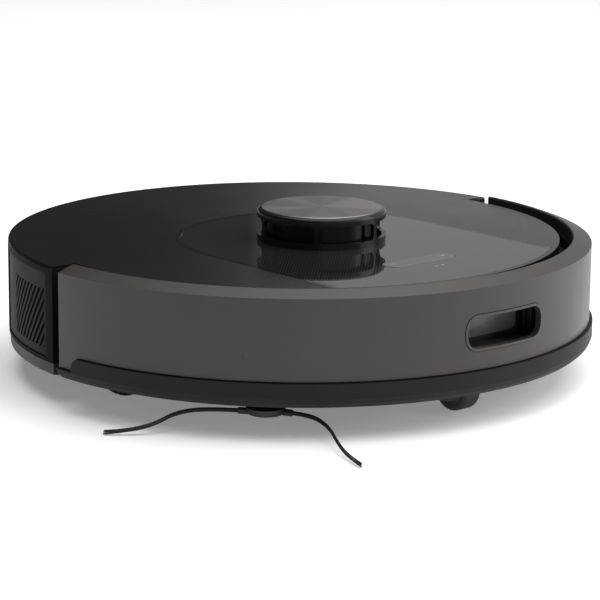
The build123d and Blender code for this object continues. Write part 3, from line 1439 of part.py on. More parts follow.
blow_deg = degrees(
    atan2(
        body_r * sin(radians(vent_field_mid)) - fan_y,
        body_r * cos(radians(vent_field_mid)) - fan_x,
    )
)
blow_x = cos(radians(blow_deg))
blow_y = sin(radians(blow_deg))
snout_w = 20.0
fan_mid_z = (fan_low_z + fan_high_z) / 2
snout_plane = Plane(
    origin=(fan_x, fan_y, fan_mid_z), x_dir=(-blow_y, blow_x, 0), z_dir=(blow_x, blow_y, 0)
)
with BuildPart() as fan_housing:
    with BuildSketch(Plane.XY.offset(fan_low_z)):
        with Locations((fan_x, fan_y)):
            Circle(fan_r)
    extrude(amount=fan_high_z - fan_low_z)
    with BuildSketch(snout_plane):
        Rectangle(snout_w, fan_high_z - fan_low_z)
    extrude(amount=2 * fan_r + 20)
    # Inlet from the side of the dust box.
    with BuildSketch(Plane.YZ.offset(fan_x)):
        with Locations((filter_y - 6, fan_mid_z)):
            Rectangle(filter_w - 12, fan_high_z - fan_low_z - 2)
    extrude(amount=-fan_x - box_half - 2 * gap)
    # Legs down to the floor.
    with BuildSketch(Plane.XY.offset(floor_z)):
        with Locations((fan_x + 15, fan_y - 14), (fan_x + 15, fan_y + 14), (fan_x - 13, fan_y - 14)):
            Circle(3)
    extrude(amount=fan_low_z - floor_z)
    with BuildSketch(Plane.XY.offset(fan_low_z + fan_t)):
        with Locations((fan_x, fan_y)):
            Circle(fan_r - fan_t)
    extrude(amount=fan_high_z - fan_low_z - 2 * fan_t, mode=Mode.SUBTRACT)
    with BuildSketch(snout_plane):
        Rectangle(snout_w - 2 * fan_t, fan_high_z - fan_low_z - 2 * fan_t)
    extrude(amount=2 * fan_r + 20, mode=Mode.SUBTRACT)
    with BuildSketch(Plane.YZ.offset(fan_x)):
        with Locations((filter_y - 6, fan_mid_z)):
            Rectangle(filter_w - 12 - 2 * fan_t, fan_high_z - fan_low_z - 2 - 2 * fan_t)
    extrude(amount=-fan_x - box_half, mode=Mode.SUBTRACT)
    with BuildSketch(Plane.XY.offset(fan_high_z - fan_t)):
        with Locations((fan_x, fan_y)):
            Circle(shaft_r + 1)
    extrude(amount=fan_t, mode=Mode.SUBTRACT)
    with BuildSketch(Plane.XY.offset(floor_z)):
        Circle(body_r - tub_inset - gap)
    extrude(amount=fan_high_z, mode=Mode.INTERSECT)
fan_housing.part.label = "fan_housing"
export_step(fan_housing.part, "parts/fan_housing.step")

with BuildPart() as fan_impeller:
    with BuildSketch(Plane.XY.offset(fan_low_z + fan_t + 1)):
        with Locations((fan_x, fan_y)):
            Circle(impeller_r)
    extrude(amount=1.6)
    with BuildSketch(Plane.XY.offset(fan_low_z + fan_t + 1)):
        with Locations((fan_x, fan_y)):
            Circle(6)
    extrude(amount=fan_high_z - fan_low_z - 2 * fan_t - 3)
    with BuildSketch(Plane.XY.offset(fan_low_z + fan_t + 1)):
        with Locations((fan_x, fan_y)):
            with PolarLocations(0, blade_count):
                with Locations((4, 0)):
                    Rectangle(impeller_r - 4.5, 1.4, rotation=28, align=(Align.MIN, Align.CENTER))
            Circle(impeller_r, mode=Mode.INTERSECT)
    extrude(amount=fan_high_z - fan_low_z - 2 * fan_t - 6)
    with BuildSketch(Plane.XY.offset(fan_low_z + fan_t + 1)):
        with Locations((fan_x, fan_y)):
            Circle(shaft_r)
    extrude(amount=fan_high_z - fan_low_z - fan_t + 12)
fan_impeller.part.label = "fan_impeller"
export_step(fan_impeller.part, "parts/fan_impeller.step")

with BuildPart() as fan_motor:
    with BuildSketch(Plane.XY.offset(fan_high_z)):
        with Locations((fan_x, fan_y)):
            Circle(15)
    extrude(amount=16)
    fillet(fan_motor.edges().group_by(Axis.Z)[-1], radius=2)
    with BuildSketch(Plane.XY.offset(fan_high_z)):
        with Locations((fan_x, fan_y)):
            Circle(shaft_r + run)
    extrude(amount=14, mode=Mode.SUBTRACT)
fan_motor.part.label = "fan_motor"
export_step(fan_motor.part, "parts/fan_motor.step")

# ======================= Side brush =======================

with BuildPart() as side_brush_motor:
    with BuildSketch(Plane.XY.offset(side_motor_low_z)):
        with Locations((hub_x, hub_y)):
            Circle(hub_shaft_r + 4)
        with Locations((side_motor_x, side_motor_y)):
            Circle(side_motor_r)
        make_hull()
    extrude(amount=13)
    with BuildSketch(Plane.XY.offset(side_motor_low_z + 13)):
        with Locations((side_motor_x, side_motor_y)):
            Circle(side_motor_r - 1.5)
    extrude(amount=side_motor_top_z - side_motor_low_z - 13)
    with BuildSketch(Plane.XY.offset(side_motor_low_z)):
        with Locations((hub_x, hub_y)):
            Circle(hub_shaft_r + run)
    extrude(amount=11, mode=Mode.SUBTRACT)
side_brush_motor.part.label = "side_brush_motor"
export_step(side_brush_motor.part, "parts/side_brush_motor.step")

with BuildPart() as side_brush_hub:
    with BuildSketch(Plane.XY.offset(hub_low_z)):
        with Locations((hub_x, hub_y)):
            Circle(hub_r)
    extrude(amount=hub_top_z - hub_low_z)
    fillet(side_brush_hub.edges().group_by(Axis.Z)[0], radius=1.6)
    with BuildSketch(Plane.XY.offset(hub_top_z)):
        with Locations((hub_x, hub_y)):
            Circle(hub_shaft_r)
    extrude(amount=side_motor_low_z + 10 - hub_top_z)
    with BuildSketch(Plane.XY.offset(hub_low_z)):
        with Locations((hub_x, hub_y)):
            Circle(screw_head_r + gap)
    extrude(amount=screw_head_t, mode=Mode.SUBTRACT)
    with BuildSketch(Plane.XY.offset(hub_low_z)):
        with Locations((hub_x, hub_y)):
            Circle(screw_r + run)
    extrude(amount=14, mode=Mode.SUBTRACT)
side_brush_hub.part.label = "side_brush_hub"
export_step(side_brush_hub.part, "parts/side_brush_hub.step")

with BuildPart() as side_brush_screw:
    with BuildSketch(Plane.XY.offset(hub_low_z + 0.2)):
        with Locations((hub_x, hub_y)):
            Circle(screw_head_r)
    extrude(amount=screw_head_t - 0.2)
    with BuildSketch(Plane.XY.offset(hub_low_z + 0.2)):
        with Locations((hub_x, hub_y)):
            Rectangle(4, 0.8)
            Rectangle(0.8, 4)
    extrude(amount=0.8, mode=Mode.SUBTRACT)
    with BuildSketch(Plane.XY.offset(hub_low_z + screw_head_t)):
        with Locations((hub_x, hub_y)):
            Circle(screw_r)
    extrude(amount=11)
side_brush_screw.part.label = "side_brush_screw"
export_step(side_brush_screw.part, "parts/side_brush_screw.step")

with BuildPart() as side_brush_arms:
    for line in brush_arms.values():
        points = [(hub_x + x, hub_y + y, z) for x, y, z in line]
        with BuildLine() as route:
            FilletPolyline(*points, radius=arm_bend_r)
        start = Plane(origin=route.line @ 0, z_dir=route.line % 0)
        with BuildSketch(start):
            Circle(arm_r)
        sweep(path=route.line)
side_brush_arms.part.label = "side_brush_arms"
export_step(side_brush_arms.part, "parts/side_brush_arms.step")
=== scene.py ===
# %% [markdown]
# # A round robot vacuum
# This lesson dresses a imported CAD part. The CAD nodes hold every real shape and size, so most of
# them stay and get a finish. A few soft or very fine pieces, such as bristles, coil springs and
# the small marks on the button, are modelled here with Blender's own tools.

# %% Load the frame
import json
import math
import random

import bpy
from mathutils import Matrix, Vector


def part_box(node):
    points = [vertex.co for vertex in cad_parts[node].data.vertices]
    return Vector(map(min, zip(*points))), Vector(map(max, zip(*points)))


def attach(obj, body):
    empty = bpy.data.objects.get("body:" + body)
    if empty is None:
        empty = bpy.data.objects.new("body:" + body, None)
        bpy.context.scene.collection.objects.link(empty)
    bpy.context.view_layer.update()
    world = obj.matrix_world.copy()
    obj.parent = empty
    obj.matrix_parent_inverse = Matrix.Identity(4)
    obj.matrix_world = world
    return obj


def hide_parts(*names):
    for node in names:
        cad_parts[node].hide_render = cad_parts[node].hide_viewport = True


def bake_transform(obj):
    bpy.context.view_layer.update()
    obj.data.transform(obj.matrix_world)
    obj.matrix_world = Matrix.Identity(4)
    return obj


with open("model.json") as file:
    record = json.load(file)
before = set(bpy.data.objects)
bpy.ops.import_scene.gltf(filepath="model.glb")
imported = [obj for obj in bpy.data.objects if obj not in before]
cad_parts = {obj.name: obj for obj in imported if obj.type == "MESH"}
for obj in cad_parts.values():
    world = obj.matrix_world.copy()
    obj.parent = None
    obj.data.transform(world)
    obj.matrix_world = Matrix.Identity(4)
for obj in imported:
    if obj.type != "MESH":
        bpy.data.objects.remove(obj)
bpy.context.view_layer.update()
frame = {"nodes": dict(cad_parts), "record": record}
nodes = frame["nodes"]
random.seed(7)
MM = 0.001


def centre(node):
    """The middle of a CAD node's box."""
    low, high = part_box(node)
    return (Vector(low) + Vector(high)) / 2


def deselect():
    for obj in bpy.context.selected_objects:
        obj.select_set(False)


def only(obj):
    """Selects one object and makes it the active one."""
    deselect()
    obj.select_set(True)
    bpy.context.view_layer.objects.active = obj


def settle(obj, name):
    """Moves the place, turn and size of an object into its mesh, and names it."""
    only(obj)
    bpy.ops.object.transform_apply(location=True, rotation=True, scale=True)
    obj.name = name
    obj.data.name = name
    return obj


def join(objs, name):
    """Joins pieces into one object under one name."""
    deselect()
    for obj in objs:
        obj.select_set(True)
    bpy.context.view_layer.objects.active = objs[0]
    if len(objs) > 1:
        bpy.ops.object.join()
    return settle(bpy.context.view_layer.objects.active, name)


# %% [markdown]
# ## Shared surface effects
# Moulded plastic is never perfectly even: its sheen changes where it was handled, and its skin has
# a fine grain. Both effects appear on nearly every piece, so each is a node group that is built
# once. A group puts out only masks and normals, and the shader stays in the material.

# %% Node groups for grain, sheen and scratches
def new_group(name, inputs, outputs):
    group = bpy.data.node_groups.new(name, "ShaderNodeTree")
    for label, kind, value in inputs:
        sock = group.interface.new_socket(name=label, in_out="INPUT", socket_type=kind)
        if value is not None:
            sock.default_value = value
    for label, kind in outputs:
        group.interface.new_socket(name=label, in_out="OUTPUT", socket_type=kind)
    enter = group.nodes.new("NodeGroupInput")
    leave = group.nodes.new("NodeGroupOutput")
    return group, enter, leave


def add(tree, kind, **values):
    """A node with its settings: those that are sockets are set by name, the rest as attributes."""
    node = tree.nodes.new(kind)
    for key, value in values.items():
        label = key.replace("_", " ")
        if label in node.inputs and not hasattr(type(node), key):
            node.inputs[label].default_value = value
        else:
            setattr(node, key, value)
    return node


def math_node(tree, operation, a, b=None):
    node = tree.nodes.new("ShaderNodeMath")
    node.operation = operation
    for slot_at, value in enumerate((a, b)):
        if value is None:
            continue
        if isinstance(value, (int, float)):
            node.inputs[slot_at].default_value = value
        else:
            tree.links.new(value, node.inputs[slot_at])
    return node.outputs[0]


def make_grain():
    """Moulded grain: a fine bump, in grains per metre."""
    group, enter, leave = new_group(
        "moulded_grain",
        [("Scale", "NodeSocketFloat", 1500.0), ("Depth", "NodeSocketFloat", 0.1)],
        [("Mask", "NodeSocketFloat"), ("Normal", "NodeSocketVector")],
    )
    coord = group.nodes.new("ShaderNodeTexCoord")
    noise = add(group, "ShaderNodeTexNoise", Detail=3.0, Roughness=0.6)
    group.links.new(coord.outputs["Object"], noise.inputs["Vector"])
    group.links.new(enter.outputs["Scale"], noise.inputs["Scale"])
    bump = add(group, "ShaderNodeBump", Distance=0.0002)
    group.links.new(noise.outputs["Fac"], bump.inputs["Height"])
    group.links.new(enter.outputs["Depth"], bump.inputs["Strength"])
    group.links.new(noise.outputs["Fac"], leave.inputs["Mask"])
    group.links.new(bump.outputs["Normal"], leave.inputs["Normal"])
    return group


def make_sheen():
    """Large soft patches where hands and cloths changed the surface."""
    group, enter, leave = new_group(
        "handled_sheen",
        [
            ("Size", "NodeSocketFloat", 14.0),
            ("Low", "NodeSocketFloat", 0.3),
            ("High", "NodeSocketFloat", 0.4),
        ],
        [("Roughness", "NodeSocketFloat"), ("Mask", "NodeSocketFloat")],
    )
    coord = group.nodes.new("ShaderNodeTexCoord")
    broad = add(group, "ShaderNodeTexNoise", Detail=4.0, Roughness=0.55)
    group.links.new(coord.outputs["Object"], broad.inputs["Vector"])
    group.links.new(enter.outputs["Size"], broad.inputs["Scale"])
    spread = group.nodes.new("ShaderNodeMapRange")
    spread.inputs["From Min"].default_value = 0.3
    spread.inputs["From Max"].default_value = 0.7
    group.links.new(broad.outputs["Fac"], spread.inputs["Value"])
    group.links.new(enter.outputs["Low"], spread.inputs["To Min"])
    group.links.new(enter.outputs["High"], spread.inputs["To Max"])
    group.links.new(spread.outputs["Result"], leave.inputs["Roughness"])
    group.links.new(broad.outputs["Fac"], leave.inputs["Mask"])
    return group


def make_drawn():
    """Drawn or brushed metal: streaks along one axis, made by squeezing noise along the others."""
    group, enter, leave = new_group(
        "drawn_streaks",
        [("Stretch", "NodeSocketVector", None), ("Depth", "NodeSocketFloat", 0.2)],
        [("Mask", "NodeSocketFloat"), ("Normal", "NodeSocketVector")],
    )
    coord = group.nodes.new("ShaderNodeTexCoord")
    squeeze = group.nodes.new("ShaderNodeVectorMath")
    squeeze.operation = "MULTIPLY"
    group.links.new(coord.outputs["Object"], squeeze.inputs[0])
    group.links.new(enter.outputs["Stretch"], squeeze.inputs[1])
    noise = add(group, "ShaderNodeTexNoise", Scale=1.0, Detail=4.0, Roughness=0.7)
    group.links.new(squeeze.outputs[0], noise.inputs["Vector"])
    bump = add(group, "ShaderNodeBump", Distance=0.0001)
    group.links.new(noise.outputs["Fac"], bump.inputs["Height"])
    group.links.new(enter.outputs["Depth"], bump.inputs["Strength"])
    group.links.new(noise.outputs["Fac"], leave.inputs["Mask"])
    group.links.new(bump.outputs["Normal"], leave.inputs["Normal"])
    return group


GRAIN, SHEEN, DRAWN = make_grain(), make_sheen(), make_drawn()
print("groups", [g.name for g in (GRAIN, SHEEN, DRAWN)])


# %% [markdown]
# ## Plain finishes
# Every plain finish is one recipe with its own numbers: two close colours mixed by the sheen mask,
# roughness between two values, and a grain bump. Values that are the same all over are set on
# the shader's own sockets. The satin cover is matte on its upright wall, below its top edge.

# %% A recipe for moulded plastic, rubber and metal
def group_node(tree, group, **values):
    node = tree.nodes.new("ShaderNodeGroup")
    node.node_tree = group
    for key, value in values.items():
        node.inputs[key].default_value = value
    return node


def colour_mix(tree, factor, first, second):
    mix = tree.nodes.new("ShaderNodeMix")
    mix.data_type = "RGBA"
    tree.links.new(factor, mix.inputs["Factor"])
    for label, value in (("A", first), ("B", second)):
        sock = [s for s in mix.inputs if s.name == label and s.type == "RGBA"][0]
        if isinstance(value, tuple):
            sock.default_value = (*value, 1.0)
        else:
            tree.links.new(value, sock)
    return [s for s in mix.outputs if s.type == "RGBA"][0]


def finish_of(name, dark, light, rough, size=14.0, grain=1500.0, depth=0.1, **shader_values):
    """A finish: colours dark to light, roughness (low, high), grain per metre and its depth."""
    made = bpy.data.materials.new(name)
    made.use_nodes = True
    tree = made.node_tree
    shader = tree.nodes["Principled BSDF"]
    for key, value in shader_values.items():
        shader.inputs[key.replace("_", " ")].default_value = value
    sheen = group_node(tree, SHEEN, Size=size, Low=rough[0], High=rough[1])
    skin = group_node(tree, GRAIN, Scale=grain, Depth=depth)
    colour = colour_mix(tree, sheen.outputs["Mask"], dark, light)
    tree.links.new(colour, shader.inputs["Base Color"])
    tree.links.new(sheen.outputs["Roughness"], shader.inputs["Roughness"])
    tree.links.new(skin.outputs["Normal"], shader.inputs["Normal"])
    return made


def metal_of(name, dark, light, rough, stretch, depth=0.2, **shader_values):
    """A metal finish: as above, with streaks squeezed by the stretch along each axis."""
    made = finish_of(name, dark, light, rough, Metallic=1.0, **shader_values)
    tree = made.node_tree
    shader = tree.nodes["Principled BSDF"]
    streaks = group_node(tree, DRAWN, Stretch=stretch, Depth=depth)
    tree.links.new(colour_mix(tree, streaks.outputs["Mask"], dark, light), shader.inputs["Base Color"])
    tree.links.new(streaks.outputs["Normal"], shader.inputs["Normal"])
    return made


BLEND_HALF = 0.6 * MM


def matte_below(made, height, rough, specular):
    """Below this height, in metres, the finish turns matte, as on the moulded side wall."""
    tree = made.node_tree
    shader = tree.nodes["Principled BSDF"]
    place = tree.nodes.new("ShaderNodeTexCoord")
    split = tree.nodes.new("ShaderNodeSeparateXYZ")
    tree.links.new(place.outputs["Object"], split.inputs["Vector"])
    for socket, low in (("Roughness", rough), ("Specular IOR Level", specular)):
        ramp = tree.nodes.new("ShaderNodeMapRange")
        ramp.inputs["From Min"].default_value = height - BLEND_HALF
        ramp.inputs["From Max"].default_value = height + BLEND_HALF
        ramp.inputs["To Min"].default_value = low
        tree.links.new(split.outputs["Z"], ramp.inputs["Value"])
        if shader.inputs[socket].is_linked:
            tree.links.new(shader.inputs[socket].links[0].from_socket, ramp.inputs["To Max"])
        else:
            ramp.inputs["To Max"].default_value = shader.inputs[socket].default_value
        tree.links.new(ramp.outputs["Result"], shader.inputs[socket])


def grey(level, warm=0.03):
    """A slightly warm grey."""
    return (level * (1 + warm), level, level * (1 - warm))


finishes = {}


def plain(name, *look, **shader_values):
    """Keeps a plain finish under the name of its material slot."""
    finishes[name] = finish_of(name, *look, **shader_values)


def metal(name, *look, **shader_values):
    finishes[name] = metal_of(name, *look, **shader_values)


# plain: two close colours, roughness from and to, patch size, grain per metre, grain depth.
# metal: two close colours, roughness from and to, and how far the streaks are squeezed.
plain("cover_satin", grey(0.004, 0.14), grey(0.007, 0.14), (0.22, 0.30),
      9, 2600, 0.05, Specular_IOR_Level=0.35)
plain("bumper_grey", grey(0.026, 0.16), grey(0.033, 0.16), (0.34, 0.42), 11, 2400, 0.10)
plain("guard_black", grey(0.004, 0.10), grey(0.007, 0.10), (0.46, 0.58),
      16, 1900, 0.18, Specular_IOR_Level=0.24)
plain("chassis_black", grey(0.012), grey(0.018), (0.45, 0.60), 18, 1400, 0.30)
plain("vent_black", grey(0.007, 0.10), grey(0.010, 0.10), (0.50, 0.60),
      20, 2400, 0.10, Specular_IOR_Level=0.1)
plain("cage_black", grey(0.006), grey(0.009), (0.22, 0.30), 30, 900, 0.02, Specular_IOR_Level=0.3)
plain("button_grey", grey(0.09), grey(0.11), (0.34, 0.42), 40, 3000, 0.05)
plain("frame_grey", grey(0.030, 0.10), grey(0.040, 0.10), (0.24, 0.32), 40, 2600, 0.04)
plain("inner_plastic", grey(0.022, 0), grey(0.030, 0), (0.45, 0.60), 22, 1200, 0.25)
plain("light_plastic", (0.40, 0.40, 0.38), (0.48, 0.48, 0.46), (0.40, 0.55), 30, 1500, 0.15)
plain("wheel_plastic", grey(0.018), grey(0.026), (0.40, 0.55), 30, 1600, 0.20)
plain("soft_rubber", grey(0.030), grey(0.042), (0.60, 0.78), 40, 2200, 0.30)
plain("tyre_rubber", grey(0.013), grey(0.020), (0.68, 0.85), 45, 1600, 0.45)
plain("fin_rubber", (0.30, 0.045, 0.015), (0.38, 0.060, 0.020), (0.50, 0.65), 40, 2000, 0.20)
plain("belt_rubber", grey(0.012), grey(0.018), (0.65, 0.80), 60, 2600, 0.30)
plain("bristle_black", grey(0.006), grey(0.012), (0.35, 0.50), 80, 4000, 0.20)
plain("battery_wrap", (0.008, 0.030, 0.14), (0.012, 0.045, 0.19), (0.18, 0.30), 30, 500, 0.15)
plain("led_white", grey(0.26), grey(0.32), (0.25, 0.35), 60, 2000, 0.05)
plain("lens_grey", grey(0.14), grey(0.18), (0.22, 0.30), 30, 900, 0.02)
plain("lens_dark", (0.010, 0.012, 0.022), (0.016, 0.019, 0.034), (0.06, 0.10), 40, 900, 0.01)
plain("window_dark", (0.014, 0.006, 0.009), (0.020, 0.009, 0.013), (0.06, 0.10), 40, 900, 0.01)
plain("box_clear", grey(0.045, -0.04), grey(0.060, -0.04), (0.10, 0.18), 20, 700, 0.02)
metal("steel", grey(0.42, 0), grey(0.62, 0), (0.25, 0.38), (3000, 3000, 400))
metal("motor_steel", grey(0.36, 0), grey(0.52, 0), (0.30, 0.42), (300, 4000, 4000))
metal("contact_plate", (0.62, 0.56, 0.42), (0.75, 0.68, 0.52), (0.12, 0.22), (400, 5000, 5000))
SHOULDER = 1.5 * MM
WALL_ROUGH = 0.62
WALL_SPECULAR = 0.06
shell_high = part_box("top_shell")[1]
matte_below(finishes["cover_satin"], shell_high[2] - SHOULDER, WALL_ROUGH, WALL_SPECULAR)
print("plain finishes", len(finishes))


# %% [markdown]
# ## Gloss plate with a fine hatch
# The plate round the turret is clear over a dark print: two sets of thin diagonal lines that only
# show where light falls on them. Two wave textures turned 45 degrees give the lines, and the
# clear layer is the shader's coat.

# %% Hatched gloss plate
# One period of the wave texture at scale 1, in metres.
WAVE_PERIOD = 2 * math.pi / 20
HATCH_PITCH = 1.6 * MM
HATCH_SHARPNESS = 4.0


def diagonal_lines(tree, coord, turn):
    place = tree.nodes.new("ShaderNodeMapping")
    place.inputs["Rotation"].default_value = (0, 0, math.radians(turn))
    tree.links.new(coord, place.inputs["Vector"])
    wave = tree.nodes.new("ShaderNodeTexWave")
    wave.wave_profile = "SIN"
    wave.inputs["Scale"].default_value = WAVE_PERIOD / HATCH_PITCH
    tree.links.new(place.outputs["Vector"], wave.inputs["Vector"])
    return wave.outputs["Fac"]


def hatch_finish():
    made = finish_of("gloss_black", grey(0.006), grey(0.009), (0.16, 0.22), 10, 900, 0.01,
                     Coat_Weight=1.0, Coat_Roughness=0.03, Coat_IOR=1.45, Specular_IOR_Level=0.0)
    tree = made.node_tree
    shader = tree.nodes["Principled BSDF"]
    coord = tree.nodes.new("ShaderNodeTexCoord").outputs["Object"]
    one = diagonal_lines(tree, coord, 45)
    two = diagonal_lines(tree, coord, -45)
    crossed = math_node(tree, "POWER", math_node(tree, "MAXIMUM", one, two), HATCH_SHARPNESS)
    tree.links.new(colour_mix(tree, crossed, grey(0.003), grey(0.030)), shader.inputs["Base Color"])
    return made


finishes["gloss_black"] = hatch_finish()
print("hatch pitch mm", HATCH_PITCH / MM)


# %% [markdown]
# ## Turned disc on the turret
# The disc is aluminium turned on a lathe and then brushed outwards, so light gathers in a fan of
# bright wedges. That fan is painted highlight: a broad noise on the angle lightens the base colour in
# wedges. The angle round the centre also drives a fine noise, which gives streaks that run outwards.

# %% Radially brushed disc
def disc_finish():
    made = bpy.data.materials.new("disc_metal")
    made.use_nodes = True
    tree = made.node_tree
    shader = tree.nodes["Principled BSDF"]
    shader.inputs["Metallic"].default_value = 1.0
    middle = centre("turret_disc")
    coord = tree.nodes.new("ShaderNodeTexCoord")
    place = tree.nodes.new("ShaderNodeMapping")
    place.inputs["Location"].default_value = (-middle.x, -middle.y, -middle.z)
    tree.links.new(coord.outputs["Object"], place.inputs["Vector"])
    split = tree.nodes.new("ShaderNodeSeparateXYZ")
    tree.links.new(place.outputs["Vector"], split.inputs[0])
    angle = math_node(tree, "ARCTAN2", split.outputs["Y"], split.outputs["X"])
    around = tree.nodes.new("ShaderNodeCombineXYZ")
    # A point that runs round a unit circle, so the streaks meet where the angle jumps.
    tree.links.new(math_node(tree, "COSINE", angle), around.inputs["X"])
    tree.links.new(math_node(tree, "SINE", angle), around.inputs["Y"])
    fine = add(tree, "ShaderNodeTexNoise", Scale=90.0, Detail=5.0, Roughness=0.7)
    tree.links.new(around.outputs["Vector"], fine.inputs["Vector"])
    broad = add(tree, "ShaderNodeTexNoise", Scale=1.6, Detail=1.0)
    tree.links.new(around.outputs["Vector"], broad.inputs["Vector"])
    # Painted highlight: the broad noise lightens the base colour in wedges, in place of the fan of
    # reflected light.
    highlight_wedge = tree.nodes.new("ShaderNodeMapRange")
    highlight_wedge.inputs["From Min"].default_value = 0.38
    highlight_wedge.inputs["From Max"].default_value = 0.62
    tree.links.new(broad.outputs["Fac"], highlight_wedge.inputs["Value"])
    wedge_highlight_tone = colour_mix(tree, highlight_wedge.outputs["Result"], grey(0.26), grey(0.50))
    streak = colour_mix(tree, fine.outputs["Fac"], grey(0.20), wedge_highlight_tone)
    tree.links.new(streak, shader.inputs["Base Color"])
    rough = tree.nodes.new("ShaderNodeMapRange")
    rough.inputs["To Min"].default_value = 0.26
    rough.inputs["To Max"].default_value = 0.44
    tree.links.new(fine.outputs["Fac"], rough.inputs["Value"])
    tree.links.new(rough.outputs["Result"], shader.inputs["Roughness"])
    bump = add(tree, "ShaderNodeBump", Strength=0.35, Distance=0.0002)
    tree.links.new(fine.outputs["Fac"], bump.inputs["Height"])
    tree.links.new(bump.outputs["Normal"], shader.inputs["Normal"])
    return made


finishes["disc_metal"] = disc_finish()


# %% [markdown]
# ## Ribbed, pleated and printed finishes
# The sensor bay has light traps, narrow upright ribs. The filter is folded paper with a woven
# face, and a circuit board shows copper tracks under its green mask.

# %% Ribs, filter paper and circuit board
def striped(name, base, axis, pitch, depth):
    """Adds ribs across one axis of a plain finish."""
    tree = base.node_tree
    base.name = name
    coord = tree.nodes.new("ShaderNodeTexCoord")
    wave = tree.nodes.new("ShaderNodeTexWave")
    wave.bands_direction = axis
    wave.inputs["Scale"].default_value = WAVE_PERIOD / pitch
    tree.links.new(coord.outputs["Object"], wave.inputs["Vector"])
    bump = add(tree, "ShaderNodeBump", Strength=1.0, Distance=depth)
    tree.links.new(wave.outputs["Fac"], bump.inputs["Height"])
    tree.links.new(bump.outputs["Normal"], tree.nodes["Principled BSDF"].inputs["Normal"])
    return base


BAY_RIB_PITCH = 1.6 * MM
BAY_RIB_DEPTH = 0.4 * MM
PLEAT_PITCH = 0.8 * MM
PLEAT_DEPTH = 0.1 * MM
bay_base = finish_of("bay", grey(0.010), grey(0.014), (0.50, 0.60), 40)
finishes["bay_black"] = striped("bay_black", bay_base, "Y", BAY_RIB_PITCH, BAY_RIB_DEPTH)
paper_base = finish_of("paper", grey(0.48), grey(0.60), (0.8, 0.9), 60)
finishes["filter_paper"] = striped("filter_paper", paper_base, "Z", PLEAT_PITCH, PLEAT_DEPTH)


MASK_DARK = (0.006, 0.05, 0.022)
MASK_LIGHT = (0.008, 0.07, 0.030)
TRACK_GREEN = (0.03, 0.16, 0.07)


def board_finish():
    """Green mask with a net of lighter tracks under it."""
    made = finish_of("board_green", MASK_DARK, MASK_LIGHT, (0.25, 0.35), 30, 900, 0.02)
    tree = made.node_tree
    coord = tree.nodes.new("ShaderNodeTexCoord")
    bricks = tree.nodes.new("ShaderNodeTexBrick")
    bricks.inputs["Scale"].default_value = 160.0
    bricks.inputs["Mortar Size"].default_value = 0.012
    for label, colour in (("Color1", MASK_DARK), ("Color2", MASK_LIGHT), ("Mortar", TRACK_GREEN)):
        bricks.inputs[label].default_value = (*colour, 1)
    tree.links.new(coord.outputs["Object"], bricks.inputs["Vector"])
    tree.links.new(bricks.outputs["Color"], tree.nodes["Principled BSDF"].inputs["Base Color"])
    return made


finishes["board_green"] = board_finish()
print("all finishes", len(finishes))

# %% [markdown]
# ## Dressing the CAD nodes
# The record names a material slot for every node. Each node's mesh takes the finish of that slot,
# so the model and the record stay in step.

# %% Give every node its finish
for part in frame["record"]["subparts"]:
    mesh = nodes[part["node"]].data
    finish = finishes[part["material_slot"]]
    mesh.materials.clear()
    mesh.materials.append(finish)


def dress(obj, slot_name):
    obj.data.materials.clear()
    obj.data.materials.append(finishes[slot_name])


# %% [markdown]
# ## Corner brush
# Each arm is a bundle of nylon bristles, held in the hub and splayed at its tip. A bristle is one
# smooth curve with a round section; the bundle is a handful of them that start together and
# spread outwards. The CAD arm keeps the path, and the bristles follow the same points.

# %% Bristle bundles of the corner brush
# Points of each arm in millimetres from the hub's axis, with their height over the floor.
ARM_LINES = {
    "front": ((6, -10, 10), (11, -25, 11), (10, -41, 7.5),
              (0.5, -58, 4.4), (-7.5, -75, 2.4), (-10.4, -88.2, 1.6)),
    "side": ((-9, 7, 10), (-22, 18.5, 11), (-39, 27.5, 10.6),
             (-56, 28.5, 5.6), (-68, 38, 2.3), (-76.3, 45.4, 1.6)),
    "inner": ((11, 2, 10), (27, 5, 11), (42, 15, 7.5),
              (57, 27, 4.4), (70, 41, 2.4), (77, 46.5, 1.6)),
}
hub_mid = centre("side_brush_screw")
HUB = Vector((hub_mid.x, hub_mid.y, 0))
BRISTLE_R = 0.42 * MM
BUNDLE_R = 0.85 * MM
BRISTLES = 9
TIP_SPLAY = 0.35        # share by which a bundle opens at its tip
TIP_THIN = 0.45         # share by which a bristle thins at its tip
TWIST = 1.2             # turn of a bundle from root to tip, in radians
FLOOR_GAP = 0.15 * MM
FERRULE_R = 1.9 * MM
FERRULE_LENGTH = 6 * MM
FERRULE_AHEAD = 1 * MM
FERRULE_BEVEL = 0.4 * MM


def bristle_arm(name, line):
    """One bundle: a middle bristle and a ring of them round it."""
    bpy.ops.curve.primitive_nurbs_path_add()
    arm = bpy.context.active_object
    curve = arm.data
    curve.splines.clear()
    curve.dimensions = "3D"
    curve.bevel_depth = BRISTLE_R
    curve.bevel_resolution = 1
    curve.resolution_u = 5
    curve.use_fill_caps = True
    for strand in range(BRISTLES):
        turn = 2 * math.pi * strand / (BRISTLES - 1)
        spread = 0.0 if strand == BRISTLES - 1 else BUNDLE_R
        spline = curve.splines.new("NURBS")
        spline.points.add(len(line) - 1)
        for i, (x, y, z) in enumerate(line):
            along = i / (len(line) - 1)
            off = spread * (1.0 + TIP_SPLAY * random.random() * along)
            side = off * math.cos(turn + TWIST * along)
            lift = off * math.sin(turn + TWIST * along)
            place = HUB + Vector((x, y, z)) * MM + Vector((side, side * 0.6, 0))
            place.z = max(place.z + lift, BRISTLE_R + FLOOR_GAP)
            spline.points[i].co = (*place, 1.0)
            spline.points[i].radius = 1.0 - TIP_THIN * along
        spline.order_u = 3
        spline.use_endpoint_u = True
    only(arm)
    bpy.ops.object.convert(target="MESH")
    arm = bpy.context.active_object
    bpy.ops.object.shade_smooth()
    return settle(arm, name)


